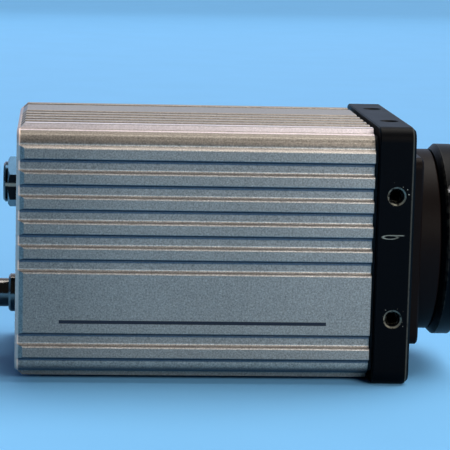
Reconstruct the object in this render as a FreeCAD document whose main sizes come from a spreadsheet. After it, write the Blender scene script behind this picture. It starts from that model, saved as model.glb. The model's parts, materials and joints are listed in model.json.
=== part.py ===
"""Machine vision camera with a ribbed aluminium body, a bolted front plate and a focus ring.

Everything is in millimetres. The origin is the centre of the lens seat, which is the front face
of the focus ring. +X points out of the lens thread, +Z is up, and -Y is the camera's right side.
The driving dimensions are in the spreadsheet "size". The stations along X are expressions of them,
and each piece is drawn in a frame of its own that stands on its station.
"""

import FreeCAD, Part
import math
import os

import Sketcher

DIMENSIONS = (
    # lens seat and focus ring
    ("flange_focal", 17.526, "lens seat to the image plane"),
    ("lens_thread_radius", 12.7, "lens thread, one inch across"),
    ("lens_thread_length", 5.2, "length of the lens thread"),
    ("ring_wall", 3.2, "wall of the focus ring round the neck"),
    ("ring_length", 6.4, "length of the focus ring"),
    ("ring_bevel", 1.35, "bevel on both rims of the focus ring"),
    ("ring_hub_radius", 15.5, "hub that carries the lens thread"),
    ("ring_skirt_depth", 4.2, "depth of the skirt that turns on the neck"),
    ("ring_gap", 0.3, "gap that lets the focus ring turn"),
    ("neck_clearance", 0.05, "running clearance between skirt and neck"),
    ("grub_radius", 1.25, "set screws of the focus ring"),
    ("grub_sink", 0.65, "set screws below the ring's outside"),
    ("grub_station", 2.75, "set screws, ahead of the ring's back rim"),
    ("grub_lean", 51.0, "angle of the first set screw from straight up"),
    ("grub_flats", 1.3, "hex socket of a set screw"),
    # lens base: square flange, barrel and neck in one piece
    ("base_margin", 0.35, "square flange outside the barrel"),
    ("base_thickness", 3.3, "thickness of the square flange"),
    ("base_corner", 2.75, "corner radius of the square flange"),
    ("base_edge", 0.4, "bevel on the flange's front edges"),
    ("barrel_step", 1.9, "barrel outside the neck"),
    ("barrel_edge", 0.3, "bevel on the barrel's front rim"),
    ("neck_bore", 17.0, "bore of the neck"),
    ("neck_wall", 3.95, "wall of the neck inside the ring's skirt"),
    ("spigot_wall", 2.0, "spigot that centres the base, outside the neck's bore"),
    ("spigot_length", 0.8, "length of the spigot"),
    ("ledge_bore", 11.5, "opening in the ledge behind the filter"),
    ("ledge_thickness", 2.4, "ledge that the filter lies on"),
    ("base_screw_margin", 0.2, "heads of the base screws outside the barrel"),
    ("base_screw_grip", 2.7, "thread of the base screws in the plate"),
    ("sensor_setback", 2.5, "image plane behind the plate's front face"),
    # filter
    ("filter_thickness", 1.1, "filter glass"),
    ("filter_clearance", 0.1, "filter and retainer inside the neck"),
    ("retainer_bore", 14.0, "bore of the filter retainer"),
    ("retainer_length", 1.6, "length of the filter retainer"),
    ("retainer_notch", 1.6, "width of a spanner notch in the retainer"),
    # front plate
    ("plate_side", 62.9, "side of the front plate"),
    ("plate_thickness", 8.9, "thickness of the front plate"),
    ("plate_corner", 3.4, "corner radius of the front plate"),
    ("plate_edge", 0.85, "bevel round the plate's front face"),
    ("plate_back_edge", 0.3, "bevel round the plate's back face"),
    ("side_hole_radius", 1.65, "core of the M4 mounting threads"),
    ("side_hole_rim", 2.35, "countersink of the M4 mounting threads"),
    ("side_hole_depth", 8.0, "depth of the M4 mounting threads"),
    ("side_hole_spacing", 30.0, "distance between the two holes of a side"),
    ("window_margin", 1.0, "window round the sensor package"),
    ("window_corner", 1.5, "corner radius of the window"),
    ("seat_clearance", 0.1, "fit of flat-sided pieces in their seats"),
    # screws of size M2.5 with countersunk heads
    ("screw_radius", 1.25, "shank of the M2.5 screws"),
    ("screw_clearance", 0.06, "shank inside its hole"),
    ("head_radius", 2.35, "countersunk head"),
    ("head_depth", 1.15, "depth of the countersunk head"),
    ("head_socket", 1.5, "hex socket in the head, across flats"),
    ("head_socket_depth", 0.8, "depth of the hex socket"),
    ("screw_grip", 6.0, "thread length in the piece that is held"),
    # gasket and housing
    ("gasket_thickness", 0.9, "gasket between plate and housing"),
    ("gasket_inset", 0.5, "gasket edge behind the housing's grooves"),
    ("housing_length", 85.6, "length of the extruded housing"),
    ("housing_half", 29.3, "half width at the bottom of the grooves"),
    ("housing_corner", 3.2, "corner radius of the housing"),
    ("housing_wall", 2.5, "wall under the grooves"),
    ("housing_bevel", 1.9, "bevel round the back, from the ribs' tops"),
    ("rib_pitch", 6.0, "distance from rib to rib"),
    ("rib_land", 2.6, "flat top of a rib"),
    ("rib_height", 1.4, "height of the ribs"),
    ("rib_draft", 20.0, "slope of the ribs' flanks"),
    ("rib_round", 0.35, "rounding along the ribs' tops"),
    ("rib_root", 0.3, "rounding along the ribs' roots"),
    ("boss_radius", 2.7, "screw channels inside the corners"),
    ("boss_inset", 2.2, "middle of a screw channel inside the cavity's walls"),
    # back panel
    ("panel_thickness", 2.5, "thickness of the back panel"),
    ("panel_ledge", 0.6, "ledge in the housing that the panel lies on"),
    ("panel_corner", 2.0, "corner radius of the back panel"),
    # image sensor
    ("die_width", 13.6, "sensor die, across"),
    ("die_height", 10.6, "sensor die, up"),
    ("die_thickness", 0.5, "thickness of the sensor die"),
    ("well_margin", 1.2, "well of the package round the die"),
    ("package_side_wall", 5.5, "wall of the package left and right of the well"),
    ("package_end_wall", 3.7, "wall of the package above and below the well"),
    ("package_floor", 1.2, "floor of the package under the die"),
    ("package_rim", 0.6, "rim of the package ahead of the image plane"),
    ("cover_lap", 1.6, "cover glass over the edge of the well"),
    ("cover_thickness", 0.65, "thickness of the cover glass"),
    # circuit boards
    ("sensor_board_side", 4.9, "sensor board left and right of the window"),
    ("sensor_board_end", 4.7, "sensor board above and below the window"),
    ("sensor_board_corner", 1.5, "corner radius of the sensor board"),
    ("sensor_screw_inset", 2.5, "sensor board screws inside the board's edge"),
    ("sensor_screw_radius", 0.95, "shank of the M2 sensor board screws"),
    ("sensor_screw_head", 1.8, "head radius of the M2 screws"),
    ("sensor_screw_head_depth", 1.2, "head height of the M2 screws"),
    ("sensor_screw_grip", 1.8, "thread of the M2 screws in the plate"),
    ("shim_thickness", 0.6, "shims that set the image plane"),
    ("shim_radius", 1.8, "outside of a shim"),
    ("board_thickness", 1.6, "thickness of every circuit board"),
    ("board_clearance", 1.2, "large boards inside the cavity's walls"),
    ("board_corner", 1.0, "corner radius of the large boards"),
    ("boss_clearance", 0.5, "boards round the screw channels"),
    ("spacer_inset", 4.1, "spacers inside the corner screws"),
    ("spacer_flats", 4.5, "hex spacers, across flats"),
    ("stud_grip", 4.0, "stud of a spacer in the piece ahead"),
    ("spacer_head_radius", 2.2, "heads of the last board screws"),
    ("spacer_head_depth", 1.6, "head height of the last board screws"),
    # connectors between the boards
    ("link_width", 30.0, "board link, across"),
    ("link_depth", 6.0, "board link, up"),
    ("link_tongue", 2.0, "thickness of a link's tongue"),
    ("link_reach", 2.6, "length of a link's tongue"),
    ("link_drop", 16.5, "links of the large boards, below the axis"),
    # parts on the boards
    ("chip_side", 21.0, "processor"),
    ("chip_height", 2.2, "height of the processor"),
    ("memory_width", 12.0, "memory chip, across"),
    ("memory_height", 8.0, "memory chip, up"),
    ("memory_thickness", 1.2, "thickness of a memory chip"),
    ("memory_spread", 16.0, "memory chips, from one to the next"),
    ("converter_side", 9.0, "signal converter"),
    ("converter_thickness", 1.4, "thickness of a signal converter"),
    ("converter_spread", 18.0, "converters, from one to the next"),
    ("coil_side", 10.0, "power coil"),
    ("coil_height", 5.0, "height of a power coil"),
    ("coil_spread", 14.0, "coils, from one to the next"),
    ("coil_corner", 1.5, "corner radius of a coil"),
    ("capacitor_radius", 3.1, "power capacitor"),
    ("capacitor_height", 6.0, "height of a power capacitor"),
    ("capacitor_spread", 9.0, "capacitors, from one to the next"),
    # sockets in the back panel
    ("socket_depth", 10.9, "panel's outer face to the interface board"),
    ("socket_clearance", 0.08, "sockets in their panel holes"),
    ("power_height", 13.1, "power socket, above the axis"),
    ("power_flats", 11.2, "hex flange of the power socket"),
    ("power_hex", 2.5, "thickness of the hex flange"),
    ("power_turn", 7.0, "turn of the hex flange"),
    ("power_lip_radius", 5.05, "round lip in front of the hex flange"),
    ("power_lip", 1.15, "length of the lip"),
    ("power_lip_edge", 0.5, "bevel of the lip"),
    ("power_body_radius", 4.5, "threaded body through the panel"),
    ("power_body_length", 6.0, "body behind the panel's outer face"),
    ("power_bore", 3.7, "bore of the power socket"),
    ("power_cavity", 4.5, "depth of the mouth in front of the insert"),
    ("power_pin_radius", 0.4, "pin of the power socket"),
    ("power_pin_circle", 2.2, "circle that the pins stand on"),
    ("power_pin_setback", 1.3, "pin tips behind the mouth"),
    ("sync_height", -15.1, "sync jack, below the axis"),
    ("sync_flange_radius", 4.8, "flange of the sync jack"),
    ("sync_flange", 2.1, "thickness of the flange"),
    ("sync_flange_edge", 0.5, "bevel of the flange"),
    ("sync_barrel_radius", 3.6, "barrel of the sync jack"),
    ("sync_barrel", 7.4, "barrel behind the flange"),
    ("sync_barrel_edge", 0.5, "bevel at the end of the barrel"),
    ("sync_shank_radius", 3.1, "shank through the panel"),
    ("sync_shank_length", 6.0, "shank behind the panel's outer face"),
    ("sync_bore", 2.3, "bore of the sync jack"),
    ("sync_setback", 2.4, "insulator behind the mouth"),
    ("sync_contact_radius", 0.65, "centre contact"),
    ("sync_contact_setback", 1.0, "contact tip behind the mouth"),
    ("nut_flats", 11.0, "hex nut of the power socket"),
    ("small_nut_flats", 8.0, "hex nut of the sync jack"),
    ("nut_thickness", 2.0, "thickness of both nuts"),
    ("data_height", -1.9, "data socket, below the axis"),
    ("data_width", 37.0, "shell of the data socket, across"),
    ("data_side", 9.4, "shell of the data socket, up"),
    ("data_corner", 1.5, "corner radius of the shell"),
    ("data_side_wall", 3.5, "shell left and right of its slot"),
    ("data_end_wall", 2.0, "shell above and below its slot"),
    ("data_slot_depth", 6.0, "depth of the slot"),
    ("data_tongue_margin", 1.5, "contact tongue inside the slot's ends"),
    ("data_tongue_side", 1.9, "contact tongue, up"),
    ("data_tongue_setback", 1.0, "tongue behind the mouth of the slot"),
    ("data_ear_margin", 0.7, "ears of the data socket outside the jack posts"),
    ("data_ear_thickness", 1.2, "thickness of the ears"),
    ("post_gap", 0.9, "panel between the shell and a jack post"),
    ("post_radius", 2.2, "jack post in the panel"),
    ("post_stud_radius", 1.4, "jack post through the ear"),
    ("post_thread_radius", 1.0, "thread in a jack post"),
    ("post_thread_depth", 5.0, "depth of the thread in a jack post"),
)

BOARD_NAMES = ("analog_board", "processor_board", "power_board", "interface_board")
AXIS = "0"

doc = FreeCAD.newDocument("machine_vision_camera")
size = doc.addObject("Spreadsheet::Sheet", "size")
pieces = []


def fill_sheet():
    """Writes each driving dimension with its name as the alias of its cell."""
    for row, (name, value, meaning) in enumerate(DIMENSIONS, start=1):
        size.set("A%d" % row, name)
        size.set("B%d" % row, str(value))
        size.set("C%d" % row, meaning)
        size.setAlias("B%d" % row, name)
    doc.recompute()


def number(expression):
    """The value that an expression of the sheet has now."""
    result = size.evalExpression(expression)
    return float(getattr(result, "Value", result))


# --- stations along X, from the lens seat backwards ---------------------------------------------

RING_BACK = "(-size.ring_length)"
BARREL_FACE = "(%s - size.ring_gap)" % RING_BACK
IMAGE_PLANE = "(-size.flange_focal)"
PLATE_FACE = "(%s + size.sensor_setback)" % IMAGE_PLANE
BASE_FACE = "(%s + size.base_thickness)" % PLATE_FACE
PLATE_BACK = "(%s - size.plate_thickness)" % PLATE_FACE
HOUSING_FACE = "(%s - size.gasket_thickness)" % PLATE_BACK
HOUSING_BACK = "(%s - size.housing_length)" % HOUSING_FACE
LEDGE_FACE = "(%s + size.ledge_thickness)" % PLATE_FACE
DIE_BACK = "(%s - size.die_thickness)" % IMAGE_PLANE
SENSOR_BOARD_FACE = "(%s - size.package_floor)" % DIE_BACK
SENSOR_BOARD_BACK = "(%s - size.board_thickness)" % SENSOR_BOARD_FACE
INTERFACE_BACK = "(%s + size.socket_depth)" % HOUSING_BACK
INTERFACE_FACE = "(%s + size.board_thickness)" % INTERFACE_BACK
BOARD_PITCH = "((%s - %s) / %d)" % (PLATE_BACK, INTERFACE_FACE, len(BOARD_NAMES))

# --- sizes across, and what is placed by them ---------------------------------------------------

SCREW_HOLE = "(size.screw_radius + size.screw_clearance)"
HEAD_HOLE = "(size.head_radius + size.screw_clearance)"
NECK_RADIUS = "(size.neck_bore + size.neck_wall)"
SKIRT_BORE = "(%s + size.neck_clearance)" % NECK_RADIUS
RING_RADIUS = "(%s + size.ring_wall)" % SKIRT_BORE
BARREL_RADIUS = "(%s + size.barrel_step)" % NECK_RADIUS
SPIGOT_RADIUS = "(size.neck_bore + size.spigot_wall)"
BASE_SIDE = "(2 * (%s + size.base_margin))" % BARREL_RADIUS
BASE_SCREWS = "((%s + %s + size.base_screw_margin) / sqrt(2))" % (BARREL_RADIUS, HEAD_HOLE)
CAVITY_HALF = "(size.housing_half - size.housing_wall)"
RIB_HALF = "(size.housing_half + size.rib_height)"
CORNER_SCREWS = "(%s - size.boss_inset)" % CAVITY_HALF
PANEL_OPENING = "(2 * (%s + size.panel_ledge))" % CAVITY_HALF
BOARD_SIDE = "(2 * (%s - size.board_clearance))" % CAVITY_HALF
SPACERS = "(%s - size.spacer_inset)" % CORNER_SCREWS
WELL_WIDTH = "(size.die_width + 2 * size.well_margin)"
WELL_HEIGHT = "(size.die_height + 2 * size.well_margin)"
PACKAGE_WIDTH = "(%s + 2 * size.package_side_wall)" % WELL_WIDTH
PACKAGE_HEIGHT = "(%s + 2 * size.package_end_wall)" % WELL_HEIGHT
WINDOW_WIDTH = "(%s + 2 * size.window_margin)" % PACKAGE_WIDTH
WINDOW_HEIGHT = "(%s + 2 * size.window_margin)" % PACKAGE_HEIGHT
SENSOR_BOARD_WIDTH = "(%s + 2 * size.sensor_board_side)" % WINDOW_WIDTH
SENSOR_BOARD_HEIGHT = "(%s + 2 * size.sensor_board_end)" % WINDOW_HEIGHT
SENSOR_SCREWS = "(%s / 2 - size.sensor_screw_inset)" % SENSOR_BOARD_HEIGHT
DATA_POSTS = "(size.data_width / 2 + size.post_gap + size.post_radius)"
EAR_WIDTH = "(2 * (%s + size.post_radius + size.data_ear_margin))" % DATA_POSTS
SLOT_WIDTH = "(size.data_width - 2 * size.data_side_wall)"
SLOT_HEIGHT = "(size.data_side - 2 * size.data_end_wall)"


def board_face(index):
    """Station of the front face of one of the four large boards, counted from the front."""
    return "(%s - %d * %s)" % (PLATE_BACK, index + 1, BOARD_PITCH)


# --- tools for bodies and sketches --------------------------------------------------------------


def new_body(name, station=AXIS, across=AXIS, height=AXIS):
    """A body that becomes one node; its frame stands at the given place."""
    body = doc.addObject("PartDesign::Body", name)
    body.Label = name
    body.setExpression("Placement.Base.x", station)
    body.setExpression("Placement.Base.y", across)
    body.setExpression("Placement.Base.z", height)
    pieces.append(body)
    return body


def turn_body(body, direction, degrees):
    """Turns a body's frame about one of its own directions."""
    body.Placement.Rotation = FreeCAD.Rotation(FreeCAD.Vector(*direction), degrees)


def origin_part(body, role):
    """The plane or axis of the body's own origin that has this role."""
    return next(part for part in body.Origin.OriginFeatures if part.Role == role)


def new_sketch(body, role, right=AXIS, up=AXIS, out=AXIS):
    """A sketch on an origin plane, shifted in the plane and out of it."""
    sketch = body.newObject("Sketcher::SketchObject", body.Name + "_sketch")
    sketch.AttachmentSupport = [(origin_part(body, role), "")]
    sketch.MapMode = "FlatFace"
    sketch.setExpression("AttachmentOffset.Base.x", right)
    sketch.setExpression("AttachmentOffset.Base.y", up)
    sketch.setExpression("AttachmentOffset.Base.z", out)
    return sketch


def bind(sketch, kind, *terms):
    """Adds a constraint whose last term is an expression of the sheet, and keeps it bound."""
    expression = terms[-1]
    constraint = Sketcher.Constraint(kind, *terms[:-1], number(expression))
    index = sketch.addConstraint(constraint)
    sketch.setExpression("Constraints[%d]" % index, expression)


def draw_outline(sketch, corners):
    """A closed outline of straight lines; each corner is a pair of expressions."""
    first = sketch.GeometryCount
    points = [FreeCAD.Vector(number(right), number(up), 0) for right, up in corners]
    count = len(corners)
    for index in range(count):
        line = Part.LineSegment(points[index], points[(index + 1) % count])
        sketch.addGeometry(line, False)
    for index, (right, up) in enumerate(corners):
        line = first + index
        following = first + (index + 1) % count
        sketch.addConstraint(Sketcher.Constraint("Coincident", line, 2, following, 1))
        bind(sketch, "DistanceX", -1, 1, line, 1, right)
        bind(sketch, "DistanceY", -1, 1, line, 1, up)


def draw_box(sketch, width, height, right=AXIS, up=AXIS):
    """A rectangle with square corners round a middle."""
    corners = []
    for across, along in (("-", "-"), ("+", "-"), ("+", "+"), ("-", "+")):
        corners.append(
            ("%s %s (%s) / 2" % (right, across, width), "%s %s (%s) / 2" % (up, along, height))
        )
    draw_outline(sketch, corners)


def draw_circle(sketch, radius, right=AXIS, up=AXIS):
    """A circle whose radius and centre follow the sheet."""
    centre = FreeCAD.Vector(number(right), number(up), 0)
    circle = Part.Circle(centre, FreeCAD.Vector(0, 0, 1), number(radius))
    index = sketch.addGeometry(circle, False)
    bind(sketch, "Radius", index, radius)
    bind(sketch, "DistanceX", -1, 1, index, 3, right)
    bind(sketch, "DistanceY", -1, 1, index, 3, up)


def draw_hexagon(sketch, flats, turn=AXIS, right=AXIS, up=AXIS):
    """A hexagon by its size across flats; turn is the angle of its first corner."""
    reach = "%s / sqrt(3)" % flats
    corners = []
    for index in range(6):
        angle = "(%s + %d)" % (turn, index * 60)
        corners.append(
            (
                "%s + %s * cos(%s)" % (right, reach, angle),
                "%s + %s * sin(%s)" % (up, reach, angle),
            )
        )
    draw_outline(sketch, corners)


def draw_rounded_box(sketch, width, height, corner, right=AXIS, up=AXIS):
    """A rectangle with rounded corners; its edges and radius follow the sheet."""
    half_width = number(width) / 2
    half_height = number(height) / 2
    radius = number(corner)
    middle = FreeCAD.Vector(number(right), number(up), 0)
    reach = (half_width - radius, half_height - radius)
    first = sketch.GeometryCount
    for quarter in range(4):
        angle = math.radians(quarter * 90 - 90)
        out = FreeCAD.Vector(math.cos(angle), math.sin(angle), 0)
        along = FreeCAD.Vector(-out.y, out.x, 0)
        run = abs(along.x) * reach[0] + abs(along.y) * reach[1]
        rise = abs(out.x) * half_width + abs(out.y) * half_height
        start = middle + out * rise - along * run
        end = middle + out * rise + along * run
        centre = end - out * radius
        sketch.addGeometry(Part.LineSegment(start, end), False)
        circle = Part.Circle(centre, FreeCAD.Vector(0, 0, 1), radius)
        sketch.addGeometry(Part.ArcOfCircle(circle, angle, angle + math.pi / 2), False)
    for quarter in range(4):
        line = first + 2 * quarter
        arc = line + 1
        following = first + (2 * quarter + 2) % 8
        level = "Vertical" if quarter % 2 else "Horizontal"
        sketch.addConstraint(Sketcher.Constraint("Tangent", line, 2, arc, 1))
        sketch.addConstraint(Sketcher.Constraint("Tangent", arc, 2, following, 1))
        sketch.addConstraint(Sketcher.Constraint(level, line))
        if quarter:
            sketch.addConstraint(Sketcher.Constraint("Equal", first + 1, arc))
    bind(sketch, "Radius", first + 1, corner)
    bind(sketch, "DistanceY", -1, 1, first, 1, "%s - (%s) / 2" % (up, height))
    bind(sketch, "DistanceX", -1, 1, first + 2, 1, "%s + (%s) / 2" % (right, width))
    bind(sketch, "DistanceY", -1, 1, first + 4, 1, "%s + (%s) / 2" % (up, height))
    bind(sketch, "DistanceX", -1, 1, first + 6, 1, "%s - (%s) / 2" % (right, width))


def finish_feature(body, feature):
    """Makes the feature the body's tip and brings the document up to date."""
    body.Tip = feature
    doc.recompute()
    return feature


def pad(body, sketch, length, backwards=False):
    """Adds the sketch, drawn out along its plane's normal or against it."""
    feature = body.newObject("PartDesign::Pad", body.Name + "_pad")
    feature.Profile = sketch
    feature.Reversed = backwards
    feature.setExpression("Length", length)
    return finish_feature(body, feature)


def cut_feature(body, kind, sketch, prepare):
    """Adds a cut and makes sure that it takes material away."""
    before = body.Shape.Volume
    feature = body.newObject("PartDesign::" + kind, body.Name + "_" + kind.lower())
    feature.Profile = sketch
    prepare(feature)
    finish_feature(body, feature)
    if body.Shape.Volume > before - 1e-6:
        raise RuntimeError(feature.Name + " cuts nothing")
    return feature


def pocket(body, sketch, depth, forwards=False):
    """Cuts the sketch backwards from its plane, or forwards."""

    def prepare(feature):
        feature.Reversed = forwards
        feature.setExpression("Length", depth)

    return cut_feature(body, "Pocket", sketch, prepare)


def revolve(body, sketch, axis="H_Axis"):
    """Adds the sketch, turned a full round about an axis of the sketch."""
    feature = body.newObject("PartDesign::Revolution", body.Name + "_revolution")
    feature.Profile = sketch
    feature.ReferenceAxis = (sketch, [axis])
    feature.Angle = 360
    return finish_feature(body, feature)


def groove(body, sketch, axis="H_Axis"):
    """Cuts the sketch, turned a full round about an axis of the sketch."""

    def prepare(feature):
        feature.ReferenceAxis = (sketch, [axis])
        feature.Angle = 360

    return cut_feature(body, "Groove", sketch, prepare)


def repeat_round(body, features, count):
    """Repeats features evenly about the body's X axis."""
    pattern = body.newObject("PartDesign::PolarPattern", body.Name + "_pattern")
    pattern.Originals = features
    pattern.Axis = (origin_part(body, "X_Axis"), [""])
    pattern.Angle = 360
    pattern.Occurrences = count
    return finish_feature(body, pattern)


def matching_edges(shape, fits):
    """Names of the shape's edges that fit a test."""
    return ["Edge%d" % place for place, edge in enumerate(shape.Edges, 1) if fits(edge)]


def dress(body, kind, size_name, expression, fits):
    """Fillets or chamfers the edges of the body's tip that fit a test."""
    base = body.Tip
    edges = matching_edges(base.Shape, fits)
    if not edges:
        raise RuntimeError(body.Label + " has no edge to dress")
    feature = body.newObject("PartDesign::" + kind, body.Name + "_" + kind.lower())
    feature.Base = (base, edges)
    feature.setExpression(size_name, expression)
    return finish_feature(body, feature)


def at_station(station):
    """A test for edges that lie in the plane x = station of the body's frame."""
    place = number(station)

    def fits(edge):
        bounds = edge.BoundBox
        return abs(bounds.XMin - place) < 1e-4 and abs(bounds.XMax - place) < 1e-4

    return fits


# --- shapes that several pieces share -----------------------------------------------------------


def countersunk_holes(body, face, reach, depth):
    """Four countersunk screw holes that go backwards from a face."""
    sketch = new_sketch(body, "XY_Plane", right=face, up=reach, out=reach)
    draw_outline(
        sketch,
        (
            ("0", "0"),
            ("0", HEAD_HOLE),
            ("-size.head_depth", SCREW_HOLE),
            ("-(%s)" % depth, SCREW_HOLE),
            ("-(%s)" % depth, "0"),
        ),
    )
    return repeat_round(body, [groove(body, sketch)], 4)


def round_holes(body, radius, reach, face, depth, forwards=False):
    """Four round holes on a square, cut from a face."""
    sketch = new_sketch(body, "YZ_Plane", out=face)
    for right in (reach, "-" + reach):
        for up in (reach, "-" + reach):
            draw_circle(sketch, radius, right, up)
    return pocket(body, sketch, depth, forwards)


def countersunk_screws(name, station, reach, length, facing_back=False):
    """Four M2.5 screws with countersunk heads on a square; heads at the station."""
    body = new_body(name, station)
    if facing_back:
        turn_body(body, (0, 0, 1), 180)
    sketch = new_sketch(body, "XY_Plane", up=reach, out=reach)
    draw_outline(
        sketch,
        (
            ("0", "0"),
            ("0", "size.head_radius"),
            ("-size.head_depth", "size.screw_radius"),
            ("size.screw_radius / 3 - (%s)" % length, "size.screw_radius"),
            ("-(%s)" % length, "size.screw_radius * 2 / 3"),
            ("-(%s)" % length, "0"),
        ),
    )
    shank = revolve(body, sketch)
    drive = new_sketch(body, "YZ_Plane")
    draw_hexagon(drive, "size.head_socket", right=reach, up=reach)
    socket = pocket(body, drive, "size.head_socket_depth")
    repeat_round(body, [shank, socket], 4)
    return body


def rounded_path(corners):
    """Lines and arcs through corners (y, z, radius) of a closed outline, in order."""
    count = len(corners)
    cuts = []
    for index, (right, up, radius) in enumerate(corners):
        corner = FreeCAD.Vector(right, up, 0)
        before = FreeCAD.Vector(*corners[index - 1][:2], 0) - corner
        after = FreeCAD.Vector(*corners[(index + 1) % count][:2], 0) - corner
        before.normalize()
        after.normalize()
        half = before.getAngle(after) / 2
        inset = radius / math.tan(half)
        bisector = (before + after).normalize()
        middle = corner + bisector * (radius / math.sin(half) - radius)
        cuts.append((corner + before * inset, middle, corner + after * inset))
    path = []
    for index, (start, middle, end) in enumerate(cuts):
        path.append(Part.Arc(start, middle, end))
        path.append(Part.LineSegment(end, cuts[(index + 1) % count][0]))
    return path


def rib_bands(flank):
    """Raised bands along one side as (middle, flat width). As many ribs as fit lie evenly
    about the middle, and one wide land takes the place of the first three past it."""
    pitch = number("size.rib_pitch")
    land = number("size.rib_land")
    root = number("size.rib_root * tan(45 - size.rib_draft / 2)")
    room = number("size.housing_half - size.housing_corner") - root - flank - land / 2
    last = int(room / pitch)
    bands = [(step * pitch, land) for step in range(-last, 1)]
    bands.append((2 * pitch, 2 * pitch + land))
    bands.extend((step * pitch, land) for step in range(4, last + 1))
    return bands


def rib_outline():
    """Outer outline of the extrusion. Neighbouring sides mirror each other at their corner."""
    half = number("size.housing_half")
    height = number("size.rib_height")
    flank = height * math.tan(math.radians(number("size.rib_draft")))
    root = number("size.rib_root")
    crest = number("size.rib_round")
    corners = []
    for side in range(4):
        bands = rib_bands(flank)
        if side % 2:
            bands = [(-middle, width) for middle, width in reversed(bands)]
        level = []
        for middle, width in bands:
            level.append((middle - width / 2 - flank, 0, root))
            level.append((middle - width / 2, height, crest))
            level.append((middle + width / 2, height, crest))
            level.append((middle + width / 2 + flank, 0, root))
        level.append((half, 0, number("size.housing_corner")))
        turn = math.radians(side * 90 + 180)
        out = (math.cos(turn), math.sin(turn))
        along = (-out[1], out[0])
        for run, rise, radius in level:
            reach = half + rise
            right = out[0] * reach + along[0] * run
            up = out[1] * reach + along[1] * run
            corners.append((right, up, radius))
    return rounded_path(corners)


def cavity_outline():
    """Outline of the cavity: four flat walls, and an arc round each corner's screw channel."""
    half = number(CAVITY_HALF)
    channel = number(CORNER_SCREWS)
    radius = number("size.boss_radius")
    run = channel - math.sqrt(radius**2 - (half - channel) ** 2)
    near = channel - radius * math.sqrt(0.5)
    path = []
    for side in range(4):
        turn = FreeCAD.Rotation(FreeCAD.Vector(0, 0, 1), side * 90)
        start = turn.multVec(FreeCAD.Vector(half, -run, 0))
        end = turn.multVec(FreeCAD.Vector(half, run, 0))
        middle = turn.multVec(FreeCAD.Vector(near, near, 0))
        following = turn.multVec(FreeCAD.Vector(run, half, 0))
        path.append(Part.LineSegment(start, end))
        path.append(Part.Arc(end, middle, following))
    return path


def touching_ends(sketch, one, other):
    """Which ends of two neighbours in a path meet: 1 is a start and 2 an end."""

    def distance(ends):
        return sketch.getPoint(one, ends[0]).distanceToPoint(sketch.getPoint(other, ends[1]))

    return min(((1, 1), (1, 2), (2, 1), (2, 2)), key=distance)


def draw_path(sketch, path):
    """Draws a closed path whose points come from the sheet's values, and joins its ends."""
    first = sketch.GeometryCount
    sketch.addGeometry(path, False)
    count = len(path)
    joints = []
    for index in range(count):
        one = first + index
        other = first + (index + 1) % count
        end, start = touching_ends(sketch, one, other)
        joints.append(Sketcher.Constraint("Coincident", one, end, other, start))
    sketch.addConstraint(joints)


# --- lens end -----------------------------------------------------------------------------------


def make_focus_ring():
    """Ring with the lens thread; its skirt turns on the neck of the lens base."""
    body = new_body("focus_ring", RING_BACK)
    turn_body(body, (1, 0, 0), number("size.grub_lean"))
    section = new_sketch(body, "XY_Plane")
    draw_outline(
        section,
        (
            ("0", SKIRT_BORE),
            ("0", RING_RADIUS + " - size.ring_bevel"),
            ("size.ring_bevel", RING_RADIUS),
            ("size.ring_length - size.ring_bevel", RING_RADIUS),
            ("size.ring_length", RING_RADIUS + " - size.ring_bevel"),
            ("size.ring_length", "size.lens_thread_radius"),
            ("size.ring_length - size.lens_thread_length", "size.lens_thread_radius"),
            ("size.ring_length - size.lens_thread_length", "size.ring_hub_radius"),
            ("size.ring_skirt_depth", "size.ring_hub_radius"),
            ("size.ring_skirt_depth", SKIRT_BORE),
        ),
    )
    revolve(body, section)
    above = "(%s + size.ring_gap)" % RING_RADIUS
    hole = new_sketch(body, "XY_Plane", out=above)
    draw_circle(hole, "size.grub_radius + size.screw_clearance", "size.grub_station")
    bore = pocket(body, hole, "%s - %s + size.ring_gap" % (above, SKIRT_BORE))
    repeat_round(body, [bore], 3)


def make_ring_set_screws():
    """Three set screws that lock the focus ring on the neck."""
    body = new_body("ring_set_screws", RING_BACK)
    turn_body(body, (1, 0, 0), number("size.grub_lean"))
    foot = "(%s + size.neck_clearance)" % SKIRT_BORE
    top = "(%s - size.grub_sink)" % RING_RADIUS
    section = new_sketch(body, "XZ_Plane", right="size.grub_station")
    draw_outline(
        section,
        (
            ("0", foot),
            ("size.grub_radius / 2", foot),
            ("size.grub_radius", "%s + size.grub_radius / 2" % foot),
            ("size.grub_radius", top),
            ("0", top),
        ),
    )
    screw = revolve(body, section, "V_Axis")
    drive = new_sketch(body, "XY_Plane", out=top)
    draw_hexagon(drive, "size.grub_flats", right="size.grub_station")
    socket = pocket(body, drive, "(%s - %s) / 2" % (top, foot))
    repeat_round(body, [screw, socket], 3)


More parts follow.
